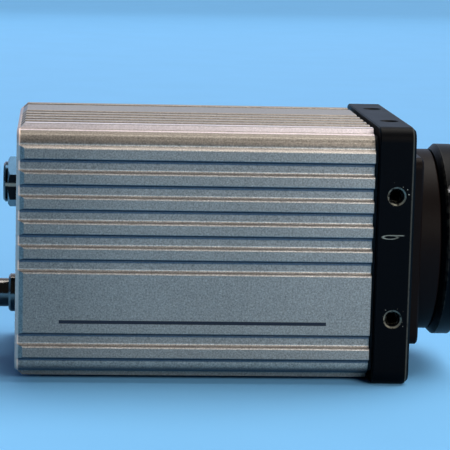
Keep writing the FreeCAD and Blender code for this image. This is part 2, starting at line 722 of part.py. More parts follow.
def make_lens_base():
    """Square flange, barrel and neck, turned and milled from one block."""
    body = new_body("lens_base", PLATE_FACE)
    square = new_sketch(body, "YZ_Plane")
    draw_rounded_box(square, BASE_SIDE, BASE_SIDE, "size.base_corner")
    pad(body, square, "size.base_thickness")
    dress(body, "Chamfer", "Size", "size.base_edge", at_station("size.base_thickness"))
    barrel_end = "(%s - %s)" % (BARREL_FACE, PLATE_FACE)
    neck_end = "(%s + size.ring_skirt_depth)" % barrel_end
    section = new_sketch(body, "XY_Plane")
    draw_outline(
        section,
        (
            ("-size.spigot_length", "0"),
            ("-size.spigot_length", SPIGOT_RADIUS),
            ("size.base_thickness / 2", SPIGOT_RADIUS),
            ("size.base_thickness / 2", BARREL_RADIUS),
            (barrel_end + " - size.barrel_edge", BARREL_RADIUS),
            (barrel_end, BARREL_RADIUS + " - size.barrel_edge"),
            (barrel_end, NECK_RADIUS),
            (neck_end, NECK_RADIUS),
            (neck_end, "0"),
        ),
    )
    revolve(body, section)
    bore = new_sketch(body, "XY_Plane")
    draw_outline(
        bore,
        (
            ("-2 * size.spigot_length", "0"),
            ("-2 * size.spigot_length", "size.ledge_bore"),
            ("size.ledge_thickness", "size.ledge_bore"),
            ("size.ledge_thickness", "size.neck_bore"),
            (neck_end + " + size.ring_gap", "size.neck_bore"),
            (neck_end + " + size.ring_gap", "0"),
        ),
    )
    groove(body, bore)
    depth = "size.base_thickness + size.spigot_length"
    countersunk_holes(body, "size.base_thickness", BASE_SCREWS, depth)


def make_filter():
    """Filter glass on the ledge, and the threaded ring that holds it there."""
    glass = new_body("filter_glass", LEDGE_FACE)
    disc = new_sketch(glass, "YZ_Plane")
    draw_circle(disc, "size.neck_bore - size.filter_clearance")
    pad(glass, disc, "size.filter_thickness")
    ring = new_body("filter_retainer", LEDGE_FACE + " + size.filter_thickness")
    rim = new_sketch(ring, "YZ_Plane")
    draw_circle(rim, "size.neck_bore - size.filter_clearance")
    draw_circle(rim, "size.retainer_bore")
    pad(ring, rim, "size.retainer_length")
    notches = new_sketch(ring, "YZ_Plane", out="size.retainer_length")
    reach = "size.neck_bore"
    half = "size.retainer_notch / 2"
    draw_outline(
        notches,
        (
            ("-" + reach, "-" + half),
            (reach, "-" + half),
            (reach, half),
            ("-" + reach, half),
        ),
    )
    pocket(ring, notches, "size.retainer_length / 2")


# --- front plate --------------------------------------------------------------------------------


def side_hole(body, height):
    """One threaded mounting hole in the plate's left side, at the middle of its thickness."""
    face = "(size.plate_side / 2)"
    floor = "(%s - size.side_hole_depth)" % face
    sketch = new_sketch(body, "XY_Plane", right="size.plate_thickness / 2", out=height)
    draw_outline(
        sketch,
        (
            ("0", face),
            ("size.side_hole_rim", face),
            ("size.side_hole_radius", face + " - size.side_hole_rim + size.side_hole_radius"),
            ("size.side_hole_radius", floor),
            ("0", floor + " - size.side_hole_radius / 2"),
        ),
    )
    return groove(body, sketch, "V_Axis")


def make_front_plate():
    """Front plate: it joins lens base, sensor board and housing, and carries the mounting
    threads, two in the middle of each side."""
    body = new_body("front_plate", PLATE_BACK)
    square = new_sketch(body, "YZ_Plane")
    draw_rounded_box(square, "size.plate_side", "size.plate_side", "size.plate_corner")
    pad(body, square, "size.plate_thickness")
    dress(body, "Chamfer", "Size", "size.plate_edge", at_station("size.plate_thickness"))
    dress(body, "Chamfer", "Size", "size.plate_back_edge", at_station("0"))
    holes = [side_hole(body, "%s size.side_hole_spacing / 2" % sign) for sign in ("", "-")]
    repeat_round(body, holes, 4)
    spigot = new_sketch(body, "YZ_Plane", out="size.plate_thickness")
    draw_circle(spigot, SPIGOT_RADIUS + " + size.neck_clearance")
    pocket(body, spigot, "size.spigot_length + size.seat_clearance")
    seat = new_sketch(body, "YZ_Plane")
    seat_width = "(%s + 2 * size.seat_clearance)" % SENSOR_BOARD_WIDTH
    seat_height = "(%s + 2 * size.seat_clearance)" % SENSOR_BOARD_HEIGHT
    seat_depth = "(%s + size.shim_thickness - %s)" % (SENSOR_BOARD_FACE, PLATE_BACK)
    draw_rounded_box(seat, seat_width, seat_height, "size.sensor_board_corner")
    pocket(body, seat, seat_depth, forwards=True)
    window = new_sketch(body, "YZ_Plane")
    draw_rounded_box(window, WINDOW_WIDTH, WINDOW_HEIGHT, "size.window_corner")
    pocket(body, window, "size.plate_thickness", forwards=True)
    face = "size.plate_thickness"
    round_holes(body, SCREW_HOLE, BASE_SCREWS, face, "size.base_screw_grip + size.seat_clearance")
    countersunk_holes(body, face, CORNER_SCREWS, face)
    grip = "size.stud_grip + size.seat_clearance"
    round_holes(body, SCREW_HOLE, SPACERS, AXIS, grip, forwards=True)
    round_holes(
        body,
        "size.sensor_screw_radius + size.screw_clearance",
        SENSOR_SCREWS,
        seat_depth,
        "size.sensor_screw_grip + size.seat_clearance",
        forwards=True,
    )


# --- housing ------------------------------------------------------------------------------------


def make_front_gasket():
    """Flat gasket between the front plate and the housing."""
    body = new_body("front_gasket", HOUSING_FACE)
    outside = new_sketch(body, "YZ_Plane")
    side = "(2 * size.housing_half - 2 * size.gasket_inset)"
    corner = "(size.housing_corner - size.gasket_inset)"
    draw_rounded_box(outside, side, side, corner)
    pad(body, outside, "size.gasket_thickness")
    inside = new_sketch(body, "YZ_Plane", out="size.gasket_thickness")
    draw_path(inside, cavity_outline())
    pocket(body, inside, "size.gasket_thickness")
    depth = "size.gasket_thickness"
    round_holes(body, SCREW_HOLE, CORNER_SCREWS, depth, depth)


def make_housing():
    """Extruded housing: ribbed outside, screw channels in the corners, a bevel round the back
    and a ledge for the back panel."""
    body = new_body("housing", HOUSING_BACK)
    outside = new_sketch(body, "YZ_Plane")
    draw_path(outside, rib_outline())
    pad(body, outside, "size.housing_length")
    inside = new_sketch(body, "YZ_Plane", out="size.housing_length")
    draw_path(inside, cavity_outline())
    pocket(body, inside, "size.housing_length")
    reach = CORNER_SCREWS
    round_holes(body, SCREW_HOLE, reach, "size.housing_length", "size.housing_length")
    ledge = new_sketch(body, "YZ_Plane")
    draw_rounded_box(ledge, PANEL_OPENING, PANEL_OPENING, "size.panel_corner")
    pocket(body, ledge, "size.panel_thickness", forwards=True)
    bevel = new_sketch(body, "YZ_Plane")
    kept = "2 * (%s - size.housing_bevel)" % RIB_HALF
    kept_corner = "size.housing_corner + size.rib_height - size.housing_bevel"
    draw_rounded_box(bevel, kept, kept, kept_corner)
    wide = "2 * (%s + 2 * size.housing_bevel)" % RIB_HALF
    draw_rounded_box(bevel, wide, wide, "size.housing_corner")

    def prepare(feature):
        feature.Reversed = True
        feature.TaperAngle = 45
        feature.setExpression("Length", "size.housing_bevel * 1.25")

    cut_feature(body, "Pocket", bevel, prepare)


def make_back_panel():
    """Back panel with the openings for its three sockets."""
    body = new_body("back_panel", HOUSING_BACK)
    outside = new_sketch(body, "YZ_Plane")
    side = "(%s - 2 * size.seat_clearance)" % PANEL_OPENING
    draw_rounded_box(outside, side, side, "size.panel_corner")
    pad(body, outside, "size.panel_thickness")
    openings = new_sketch(body, "YZ_Plane")
    draw_circle(openings, "size.power_body_radius + size.socket_clearance", up="size.power_height")
    draw_circle(openings, "size.sync_shank_radius + size.socket_clearance", up="size.sync_height")
    draw_rounded_box(
        openings,
        "size.data_width + 2 * size.socket_clearance",
        "size.data_side + 2 * size.socket_clearance",
        "size.data_corner",
        up="size.data_height",
    )
    for right in (DATA_POSTS, "-" + DATA_POSTS):
        draw_circle(openings, "size.post_radius + size.socket_clearance", right, "size.data_height")
    pocket(body, openings, "size.panel_thickness", forwards=True)
    corner = new_sketch(body, "XY_Plane", up=CORNER_SCREWS, out=CORNER_SCREWS)
    draw_outline(
        corner,
        (
            ("0", "0"),
            ("0", HEAD_HOLE),
            ("size.head_depth", SCREW_HOLE),
            ("size.panel_thickness", SCREW_HOLE),
            ("size.panel_thickness", "0"),
        ),
    )
    repeat_round(body, [groove(body, corner)], 4)


def make_screws():
    """The countersunk screws of the lens base, the front plate and the back panel."""
    through = "size.base_thickness + size.base_screw_grip"
    countersunk_screws("lens_base_screws", BASE_FACE, BASE_SCREWS, through)
    through = "size.plate_thickness + size.gasket_thickness + size.screw_grip"
    countersunk_screws("front_plate_screws", PLATE_FACE, CORNER_SCREWS, through)
    through = "size.panel_thickness + size.screw_grip"
    reach = CORNER_SCREWS
    countersunk_screws("back_panel_screws", HOUSING_BACK, reach, through, facing_back=True)


# --- image sensor -------------------------------------------------------------------------------


def make_sensor():
    """Die in its ceramic package, under a cover glass."""
    die = new_body("sensor_die", DIE_BACK)
    outline = new_sketch(die, "YZ_Plane")
    draw_box(outline, "size.die_width", "size.die_height")
    pad(die, outline, "size.die_thickness")
    package = new_body("sensor_package", SENSOR_BOARD_FACE)
    outline = new_sketch(package, "YZ_Plane")
    draw_box(outline, PACKAGE_WIDTH, PACKAGE_HEIGHT)
    height = "(size.package_floor + size.die_thickness + size.package_rim)"
    pad(package, outline, height)
    well = new_sketch(package, "YZ_Plane", out=height)
    draw_box(well, WELL_WIDTH, WELL_HEIGHT)
    pocket(package, well, "size.die_thickness + size.package_rim")
    cover = new_body("sensor_cover_glass", IMAGE_PLANE + " + size.package_rim")
    outline = new_sketch(cover, "YZ_Plane")
    cover_width = "(%s + 2 * size.cover_lap)" % WELL_WIDTH
    cover_height = "(%s + 2 * size.cover_lap)" % WELL_HEIGHT
    draw_box(outline, cover_width, cover_height)
    pad(cover, outline, "size.cover_thickness")


def make_sensor_board():
    """Board that carries the sensor, with its shims and screws."""
    board = new_body("sensor_board", SENSOR_BOARD_BACK)
    outline = new_sketch(board, "YZ_Plane")
    corner = "size.sensor_board_corner"
    draw_rounded_box(outline, SENSOR_BOARD_WIDTH, SENSOR_BOARD_HEIGHT, corner)
    pad(board, outline, "size.board_thickness")
    hole = "size.sensor_screw_radius + size.screw_clearance"
    reach = SENSOR_SCREWS
    round_holes(board, hole, reach, "size.board_thickness", "size.board_thickness")
    shims = new_body("sensor_board_shims", SENSOR_BOARD_FACE)
    washer = new_sketch(shims, "YZ_Plane")
    draw_circle(washer, "size.shim_radius", reach, reach)
    draw_circle(washer, hole, reach, reach)
    ring = pad(shims, washer, "size.shim_thickness")
    repeat_round(shims, [ring], 4)
    length = "(size.board_thickness + size.shim_thickness + size.sensor_screw_grip)"
    head_screws(
        "sensor_board_screws",
        SENSOR_BOARD_BACK,
        reach,
        ("size.sensor_screw_head", "size.sensor_screw_head_depth"),
        ("size.sensor_screw_radius", length),
    )


def head_screws(name, station, reach, head, shank):
    """Four screws on a square whose round heads lie behind the station."""
    body = new_body(name, station)
    head_radius, head_depth = head
    shank_radius, length = shank
    section = new_sketch(body, "XY_Plane", up=reach, out=reach)
    draw_outline(
        section,
        (
            ("-" + head_depth, "0"),
            ("-" + head_depth, head_radius + " * 0.85"),
            ("-%s * 0.8" % head_depth, head_radius),
            ("0", head_radius),
            ("0", shank_radius),
            (length, shank_radius),
            (length, "0"),
        ),
    )
    screw = revolve(body, section)
    drive = new_sketch(body, "YZ_Plane", out="-" + head_depth)
    draw_hexagon(drive, head_radius + " * 0.7", right=reach, up=reach)
    socket = pocket(body, drive, head_depth + " / 2", forwards=True)
    repeat_round(body, [screw, socket], 4)


# --- board stack --------------------------------------------------------------------------------


def make_board(name, index):
    """One large board: notched round the screw channels, with holes for the spacers."""
    body = new_body(name, "%s - size.board_thickness" % board_face(index))
    outline = new_sketch(body, "YZ_Plane")
    draw_rounded_box(outline, BOARD_SIDE, BOARD_SIDE, "size.board_corner")
    pad(body, outline, "size.board_thickness")
    face = "size.board_thickness"
    notch = "size.boss_radius + size.boss_clearance"
    round_holes(body, notch, CORNER_SCREWS, face, face)
    round_holes(body, SCREW_HOLE, SPACERS, face, face)


def make_spacers(name, index):
    """Four hex spacers ahead of a board; their studs go into the piece in front of them."""
    first = index == 0
    length = BOARD_PITCH if first else "(%s - size.board_thickness)" % BOARD_PITCH
    stud = "size.stud_grip" if first else "(size.stud_grip + size.board_thickness)"
    reach = SPACERS
    body = new_body(name, board_face(index))
    outline = new_sketch(body, "YZ_Plane")
    draw_hexagon(outline, "size.spacer_flats", right=reach, up=reach)
    column = pad(body, outline, length)
    tip = new_sketch(body, "YZ_Plane", out=length)
    draw_circle(tip, "size.screw_radius", reach, reach)
    stem = pad(body, tip, stud)
    thread = new_sketch(body, "YZ_Plane")
    draw_circle(thread, SCREW_HOLE, reach, reach)
    hole = pocket(body, thread, "size.stud_grip + 2 * size.seat_clearance", forwards=True)
    repeat_round(body, [column, stem, hole], 4)


def make_link(name, front, back, drop):
    """Plug and socket that join two boards; the plug's tongue sits in the socket's slot."""
    middle = "((%s + %s) / 2)" % (front, back)
    half = "((%s - %s) / 2)" % (front, back)
    width = "size.link_width"
    plug = new_body(name + "_plug", middle, height=drop)
    block = new_sketch(plug, "YZ_Plane")
    draw_box(block, width, "size.link_depth")
    pad(plug, block, half)
    blade = new_sketch(plug, "YZ_Plane")
    inner = "(size.link_width - 2 * size.link_tongue)"
    draw_box(blade, inner, "size.link_tongue")
    pad(plug, blade, "size.link_reach", backwards=True)
    socket = new_body(name + "_socket", middle, height=drop)
    block = new_sketch(socket, "YZ_Plane")
    draw_box(block, width, "size.link_depth")
    pad(socket, block, half, backwards=True)
    slot = new_sketch(socket, "YZ_Plane")
    room = "4 * size.seat_clearance"
    draw_box(slot, "%s + %s" % (inner, room), "size.link_tongue + " + room)
    pocket(socket, slot, "size.link_reach + 2 * size.seat_clearance")


def make_stack():
    """The four large boards with their spacers, the links between them and the last screws."""
    for index, name in enumerate(BOARD_NAMES):
        make_board(name, index)
        make_spacers(name.replace("_board", "_spacers"), index)
    make_link("sensor_link", SENSOR_BOARD_BACK, board_face(0), AXIS)
    for index, name in enumerate(("analog_link", "processor_link", "power_link")):
        front = "(%s - size.board_thickness)" % board_face(index)
        make_link(name, front, board_face(index + 1), "-size.link_drop")
    head_screws(
        "stack_screws",
        INTERFACE_BACK,
        SPACERS,
        ("size.spacer_head_radius", "size.spacer_head_depth"),
        ("size.screw_radius", "(size.board_thickness + size.stud_grip)"),
    )


def make_board_parts():
    """The larger parts that stand on the boards."""
    chip = new_body("processor_chip", board_face(1))
    outline = new_sketch(chip, "YZ_Plane")
    draw_box(outline, "size.chip_side", "size.chip_side")
    pad(chip, outline, "size.chip_height")
    memory = new_body("memory_chips", "%s - size.board_thickness" % board_face(1))
    outline = new_sketch(memory, "YZ_Plane")
    for right in ("size.memory_spread / 2", "-size.memory_spread / 2"):
        for up in ("size.memory_spread / 2", "-size.memory_spread / 2"):
            draw_box(outline, "size.memory_width", "size.memory_height", right, up)
    pad(memory, outline, "size.memory_thickness", backwards=True)
    converters = new_body("signal_converters", "%s - size.board_thickness" % board_face(0))
    outline = new_sketch(converters, "YZ_Plane")
    side = "size.converter_side"
    for right in ("size.converter_spread / 2", "-size.converter_spread / 2"):
        draw_box(outline, side, side, right)
    pad(converters, outline, "size.converter_thickness", backwards=True)
    coils = new_body("power_coils", board_face(2))
    outline = new_sketch(coils, "YZ_Plane")
    side = "size.coil_side"
    for right in ("-size.coil_spread", AXIS, "size.coil_spread"):
        draw_rounded_box(outline, side, side, "size.coil_corner", right)
    pad(coils, outline, "size.coil_height")
    capacitors = new_body("power_capacitors", "%s - size.board_thickness" % board_face(2))
    outline = new_sketch(capacitors, "YZ_Plane")
    for step in (-1.5, -0.5, 0.5, 1.5):
        draw_circle(outline, "size.capacitor_radius", "%s * size.capacitor_spread" % step)
    pad(capacitors, outline, "size.capacitor_height", backwards=True)


# --- sockets in the back panel ------------------------------------------------------------------


def make_nut(name, flats, bore, height):
    """Hex nut against the inner face of the back panel."""
    body = new_body(name, HOUSING_BACK + " + size.panel_thickness", height=height)
    outline = new_sketch(body, "YZ_Plane")
    draw_hexagon(outline, flats)
    draw_circle(outline, bore)
    pad(body, outline, "size.nut_thickness")


def make_power_socket():
    """Round power socket: shell with a hex flange and a round lip, insert, pins and nut."""
    height = "size.power_height"
    mouth = "(-size.power_hex - size.power_lip)"
    floor = "(%s + size.power_cavity)" % mouth
    shell = new_body("power_socket_shell", HOUSING_BACK, height=height)
    flange = new_sketch(shell, "YZ_Plane")
    draw_hexagon(flange, "size.power_flats", turn="(size.power_turn + 90)")
    pad(shell, flange, "size.power_hex", backwards=True)
    crown = new_sketch(shell, "XY_Plane")
    outer = "size.power_flats / sqrt(3)"
    inner = "size.power_flats / 2"
    draw_outline(
        crown,
        (
            ("-size.power_hex", inner),
            ("-size.power_hex", outer + " + 1"),
            ("(%s + 1 - %s) / sqrt(3) - size.power_hex" % (outer, inner), outer + " + 1"),
        ),
    )
    groove(shell, crown)
    turned = new_sketch(shell, "XY_Plane")
    draw_outline(
        turned,
        (
            (mouth, "0"),
            (mouth, "size.power_lip_radius - size.power_lip_edge"),
            (mouth + " + size.power_lip_edge", "size.power_lip_radius"),
            ("-size.power_hex / 2", "size.power_lip_radius"),
            ("-size.power_hex / 2", "size.power_body_radius"),
            ("size.power_body_length", "size.power_body_radius"),
            ("size.power_body_length", "0"),
        ),
    )
    revolve(shell, turned)
    bore = new_sketch(shell, "YZ_Plane", out="size.power_body_length")
    draw_circle(bore, "size.power_bore")
    pocket(shell, bore, "size.power_body_length - " + mouth)
    insert = new_body("power_socket_insert", HOUSING_BACK, height=height)
    disc = new_sketch(insert, "YZ_Plane", out=floor)
    draw_circle(disc, "size.power_bore - size.screw_clearance")
    draw_pin_circle(disc, "size.power_pin_radius + size.screw_clearance")
    pad(insert, disc, "size.socket_depth - " + floor)
    pins = new_body("power_socket_pins", HOUSING_BACK, height=height)
    tips = new_sketch(pins, "YZ_Plane", out=mouth + " + size.power_pin_setback")
    draw_pin_circle(tips, "size.power_pin_radius")
    pad(pins, tips, "size.socket_depth - (%s + size.power_pin_setback)" % mouth)
    bore_radius = "size.power_body_radius + size.screw_clearance"
    make_nut("power_socket_nut", "size.nut_flats", bore_radius, height)


def draw_pin_circle(sketch, radius):
    """Six circles evenly on the pin circle of the power socket."""
    for index in range(6):
        angle = index * 60
        right = "size.power_pin_circle * cos(%d)" % angle
        up = "size.power_pin_circle * sin(%d)" % angle
        draw_circle(sketch, radius, right, up)


def make_sync_jack():
    """Coaxial sync jack: flanged body with a barrel, insulator, contact and nut."""
    height = "size.sync_height"
    mouth = "(-size.sync_flange - size.sync_barrel)"
    barrel = new_body("sync_jack_body", HOUSING_BACK, height=height)
    section = new_sketch(barrel, "XY_Plane")
    draw_outline(
        section,
        (
            (mouth, "size.sync_bore"),
            (mouth, "size.sync_barrel_radius - size.sync_barrel_edge"),
            (mouth + " + size.sync_barrel_edge", "size.sync_barrel_radius"),
            ("-size.sync_flange", "size.sync_barrel_radius"),
            ("-size.sync_flange", "size.sync_flange_radius - size.sync_flange_edge"),
            ("-size.sync_flange + size.sync_flange_edge", "size.sync_flange_radius"),
            ("0", "size.sync_flange_radius"),
            ("0", "size.sync_shank_radius"),
            ("size.sync_shank_length", "size.sync_shank_radius"),
            ("size.sync_shank_length", "size.sync_bore"),
        ),
    )
    revolve(barrel, section)
    insulator = new_body("sync_jack_insulator", HOUSING_BACK, height=height)
    start = "(%s + size.sync_setback)" % mouth
    disc = new_sketch(insulator, "YZ_Plane", out=start)
    draw_circle(disc, "size.sync_bore - size.screw_clearance")
    draw_circle(disc, "size.sync_contact_radius + size.screw_clearance")
    pad(insulator, disc, "size.sync_shank_length - " + start)
    contact = new_body("sync_jack_contact", HOUSING_BACK, height=height)
    tip = "(%s + size.sync_contact_setback)" % mouth
    pin = new_sketch(contact, "YZ_Plane", out=tip)
    draw_circle(pin, "size.sync_contact_radius")
    pad(contact, pin, "size.socket_depth - " + tip)
    bore_radius = "size.sync_shank_radius + size.screw_clearance"
    make_nut("sync_jack_nut", "size.small_nut_flats", bore_radius, height)


def make_data_socket():
    """Flat data socket: shell with ears behind the panel, contact tongue and jack posts."""
    height = "size.data_height"
    shell = new_body("data_socket_shell", HOUSING_BACK, height=height)
    outline = new_sketch(shell, "YZ_Plane")
    draw_rounded_box(outline, "size.data_width", "size.data_side", "size.data_corner")
    pad(shell, outline, "size.socket_depth")
    ears = new_sketch(shell, "YZ_Plane", out="size.panel_thickness")
    draw_rounded_box(ears, EAR_WIDTH, "size.data_side", "size.data_corner")
    pad(shell, ears, "size.data_ear_thickness")
    slot = new_sketch(shell, "YZ_Plane")
    draw_rounded_box(slot, SLOT_WIDTH, SLOT_HEIGHT, "size.data_corner")
    pocket(shell, slot, "size.data_slot_depth", forwards=True)
    studs = new_sketch(shell, "YZ_Plane", out="size.panel_thickness")
    for right in (DATA_POSTS, "-" + DATA_POSTS):
        draw_circle(studs, "size.post_stud_radius + size.screw_clearance", right)
    pocket(shell, studs, "size.data_ear_thickness", forwards=True)
    tongue = new_body("data_socket_tongue", HOUSING_BACK, height=height)
    blade = new_sketch(tongue, "YZ_Plane", out="size.data_tongue_setback")
    corner = "size.data_tongue_side / 4"
    width = "(%s - 2 * size.data_tongue_margin)" % SLOT_WIDTH
    draw_rounded_box(blade, width, "size.data_tongue_side", corner)
    pad(tongue, blade, "size.data_slot_depth - size.data_tongue_setback")
    posts = new_body("data_jack_posts", HOUSING_BACK, height=height)
    heads = new_sketch(posts, "YZ_Plane")
    studs = new_sketch(posts, "YZ_Plane", out="size.panel_thickness")
    threads = new_sketch(posts, "YZ_Plane")
    for right in (DATA_POSTS, "-" + DATA_POSTS):
        draw_circle(heads, "size.post_radius", right)
        draw_circle(studs, "size.post_stud_radius", right)
        draw_circle(threads, "size.post_thread_radius", right)
    pad(posts, heads, "size.panel_thickness")
    pad(posts, studs, "size.data_ear_thickness + size.nut_thickness")
    pocket(posts, threads, "size.post_thread_depth", forwards=True)


# --- checks and files ---------------------------------------------------------------------------


def check_and_write():
    """Makes sure that every object is sound, then writes one STEP file for each piece."""
    doc.recompute()
    for item in doc.Objects:
        if "Invalid" in item.State or "Error" in item.State:
            raise RuntimeError("%s failed: %s" % (item.Label, item.State))
    for piece in pieces:
        if piece.Shape.isNull() or not piece.Shape.isValid():
            raise RuntimeError("%s has no valid shape" % piece.Label)
    os.makedirs("parts", exist_ok=True)
    for piece in pieces:
        piece.Shape.exportStep(os.path.join("parts", piece.Label + ".step"))
    print("%d pieces written" % len(pieces))


def main():
    fill_sheet()
    make_focus_ring()
    make_ring_set_screws()
    make_lens_base()
    make_filter()
    make_front_plate()
    make_front_gasket()
    make_housing()
    make_back_panel()
    make_screws()
    make_sensor()
    make_sensor_board()
    make_stack()
    make_board_parts()
    make_power_socket()
    make_sync_jack()
    make_data_socket()
    check_and_write()


main()
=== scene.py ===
"""Finishes, threads, wear and a small studio for the machine vision camera.

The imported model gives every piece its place. This file adds the threads and contacts that are cut
or pressed into those pieces, gives each piece its finish, and sets the camera up in a plain studio.
"""

import json
import math

import bpy
from bpy.props import FloatProperty, FloatVectorProperty, IntProperty, PointerProperty
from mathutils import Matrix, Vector


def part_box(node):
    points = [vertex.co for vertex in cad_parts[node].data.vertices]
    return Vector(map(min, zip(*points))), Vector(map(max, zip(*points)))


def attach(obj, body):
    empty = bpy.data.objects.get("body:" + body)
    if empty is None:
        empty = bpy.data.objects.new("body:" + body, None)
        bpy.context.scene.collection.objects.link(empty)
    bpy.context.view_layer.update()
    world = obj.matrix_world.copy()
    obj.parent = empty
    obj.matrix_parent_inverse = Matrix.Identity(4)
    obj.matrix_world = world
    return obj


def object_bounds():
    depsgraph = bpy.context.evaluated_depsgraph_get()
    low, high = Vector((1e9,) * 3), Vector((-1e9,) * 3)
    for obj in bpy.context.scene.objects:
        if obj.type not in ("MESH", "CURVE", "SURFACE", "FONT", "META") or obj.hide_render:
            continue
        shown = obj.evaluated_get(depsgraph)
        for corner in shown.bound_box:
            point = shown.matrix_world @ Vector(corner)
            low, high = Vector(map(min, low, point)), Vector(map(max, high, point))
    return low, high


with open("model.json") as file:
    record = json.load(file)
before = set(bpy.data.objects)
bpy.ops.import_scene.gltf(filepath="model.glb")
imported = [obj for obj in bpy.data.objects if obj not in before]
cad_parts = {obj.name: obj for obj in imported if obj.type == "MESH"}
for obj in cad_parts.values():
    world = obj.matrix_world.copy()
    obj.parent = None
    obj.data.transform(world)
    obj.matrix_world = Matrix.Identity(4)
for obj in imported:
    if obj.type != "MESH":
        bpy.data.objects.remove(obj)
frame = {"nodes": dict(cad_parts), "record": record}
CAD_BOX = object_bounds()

bl_info = {
    "name": "Machine Vision Camera",
    "version": (1, 0, 0),
    "blender": (4, 5, 0),
    "location": "3D View > Sidebar > Camera",
    "description": "Finishes, threads and studio of a machine vision camera",
    "category": "Object",
}

MM = 0.001
SOFT = 0.1 * MM
NODES = frame["nodes"]

# The housing's profile, as the masks of its finish need it.
RIB_PITCH = 6 * MM
RIB_CREST = 0.05 * MM
RIB_ROOT = 1.38 * MM
LONG_CORNER = 4 * MM
PRINTED_LINE = {"start": 10.5 * MM, "end": 74.9 * MM, "height": -16.5 * MM}

# The tapped holes in the sides of the front plate, how far round them it is worn, and the nick
# between the near pair. Bands are (start, end, softness).
SIDE_HOLE_REACH = 15 * MM
SIDE_HOLE_RADIUS = 1.65 * MM
SIDE_HOLE_TURNS = 9
WORN_RIM = (1.9 * MM, 2.25 * MM, 0.12 * MM)
WORN_HALO = (2.3 * MM, 3.3 * MM, 0.3 * MM)
NICK_AT = (-1.3 * MM, 5.1 * MM)
NICK_HALF = (2.0 * MM, 0.52 * MM)

# The studio: metres from the origin of the part, and degrees.
FLOOR_SIZE = 12
FLOOR_GAP = 0.05 * MM
VIEW_PLACE = (-0.10084, -0.5426, 0.08597)
VIEW_TURN = (81.305, -1.405, -4.280)
TOP_LIGHT = {
    "place": (0.40, 0.25, 1.0),
    "aim": (0, 0, 0),
    "spread": 50,
    "color": (1, 0.97, 0.92),
}
BACK_LIGHT = {
    "place": (-0.2, 1.15, 0.72),
    "aim": (-0.05, 0, 0.03),
    "side": 1.4,
    "color": (1, 0.92, 0.93),
}
FRONT_LIGHT = {
    "place": (0.48, -0.80, 0.42),
    "aim": (-0.01, 0, 0),
    "side": 0.5,
    "color": (1, 0.93, 0.84),
}


def tone(red, green, blue):
    """Linear colour for display values from 0 to 255."""

    def linear(value):
        share = value / 255
        if share <= 0.04045:
            return share / 12.92
        return ((share + 0.055) / 1.055) ** 2.4

    return (linear(red), linear(green), linear(blue))


NICKEL = tone(112, 110, 108)
NICKEL_ROUGH = 0.1


# --- shader work --------------------------------------------------------------------------------


class Signal:
    """A number that comes out of a shader node; sums with it add Math nodes to its finish."""

    def __init__(self, finish, socket):
        self.finish = finish
        self.socket = socket

    def __add__(self, other):
        return self.finish.math("ADD", self, other)

    def __radd__(self, other):
        return self.finish.math("ADD", other, self)

    def __sub__(self, other):
        return self.finish.math("SUBTRACT", self, other)

    def __rsub__(self, other):
        return self.finish.math("SUBTRACT", other, self)

    def __mul__(self, other):
        return self.finish.math("MULTIPLY", self, other)

    def __rmul__(self, other):
        return self.finish.math("MULTIPLY", other, self)

    def __truediv__(self, other):
        return self.finish.math("DIVIDE", self, other)

    def __pow__(self, other):
        return self.finish.math("POWER", self, other)

    def __abs__(self):
        return self.finish.math("ABSOLUTE", self)

    def least(self, other):
        return self.finish.math("MINIMUM", self, other)

    def most(self, other):
        return self.finish.math("MAXIMUM", self, other)


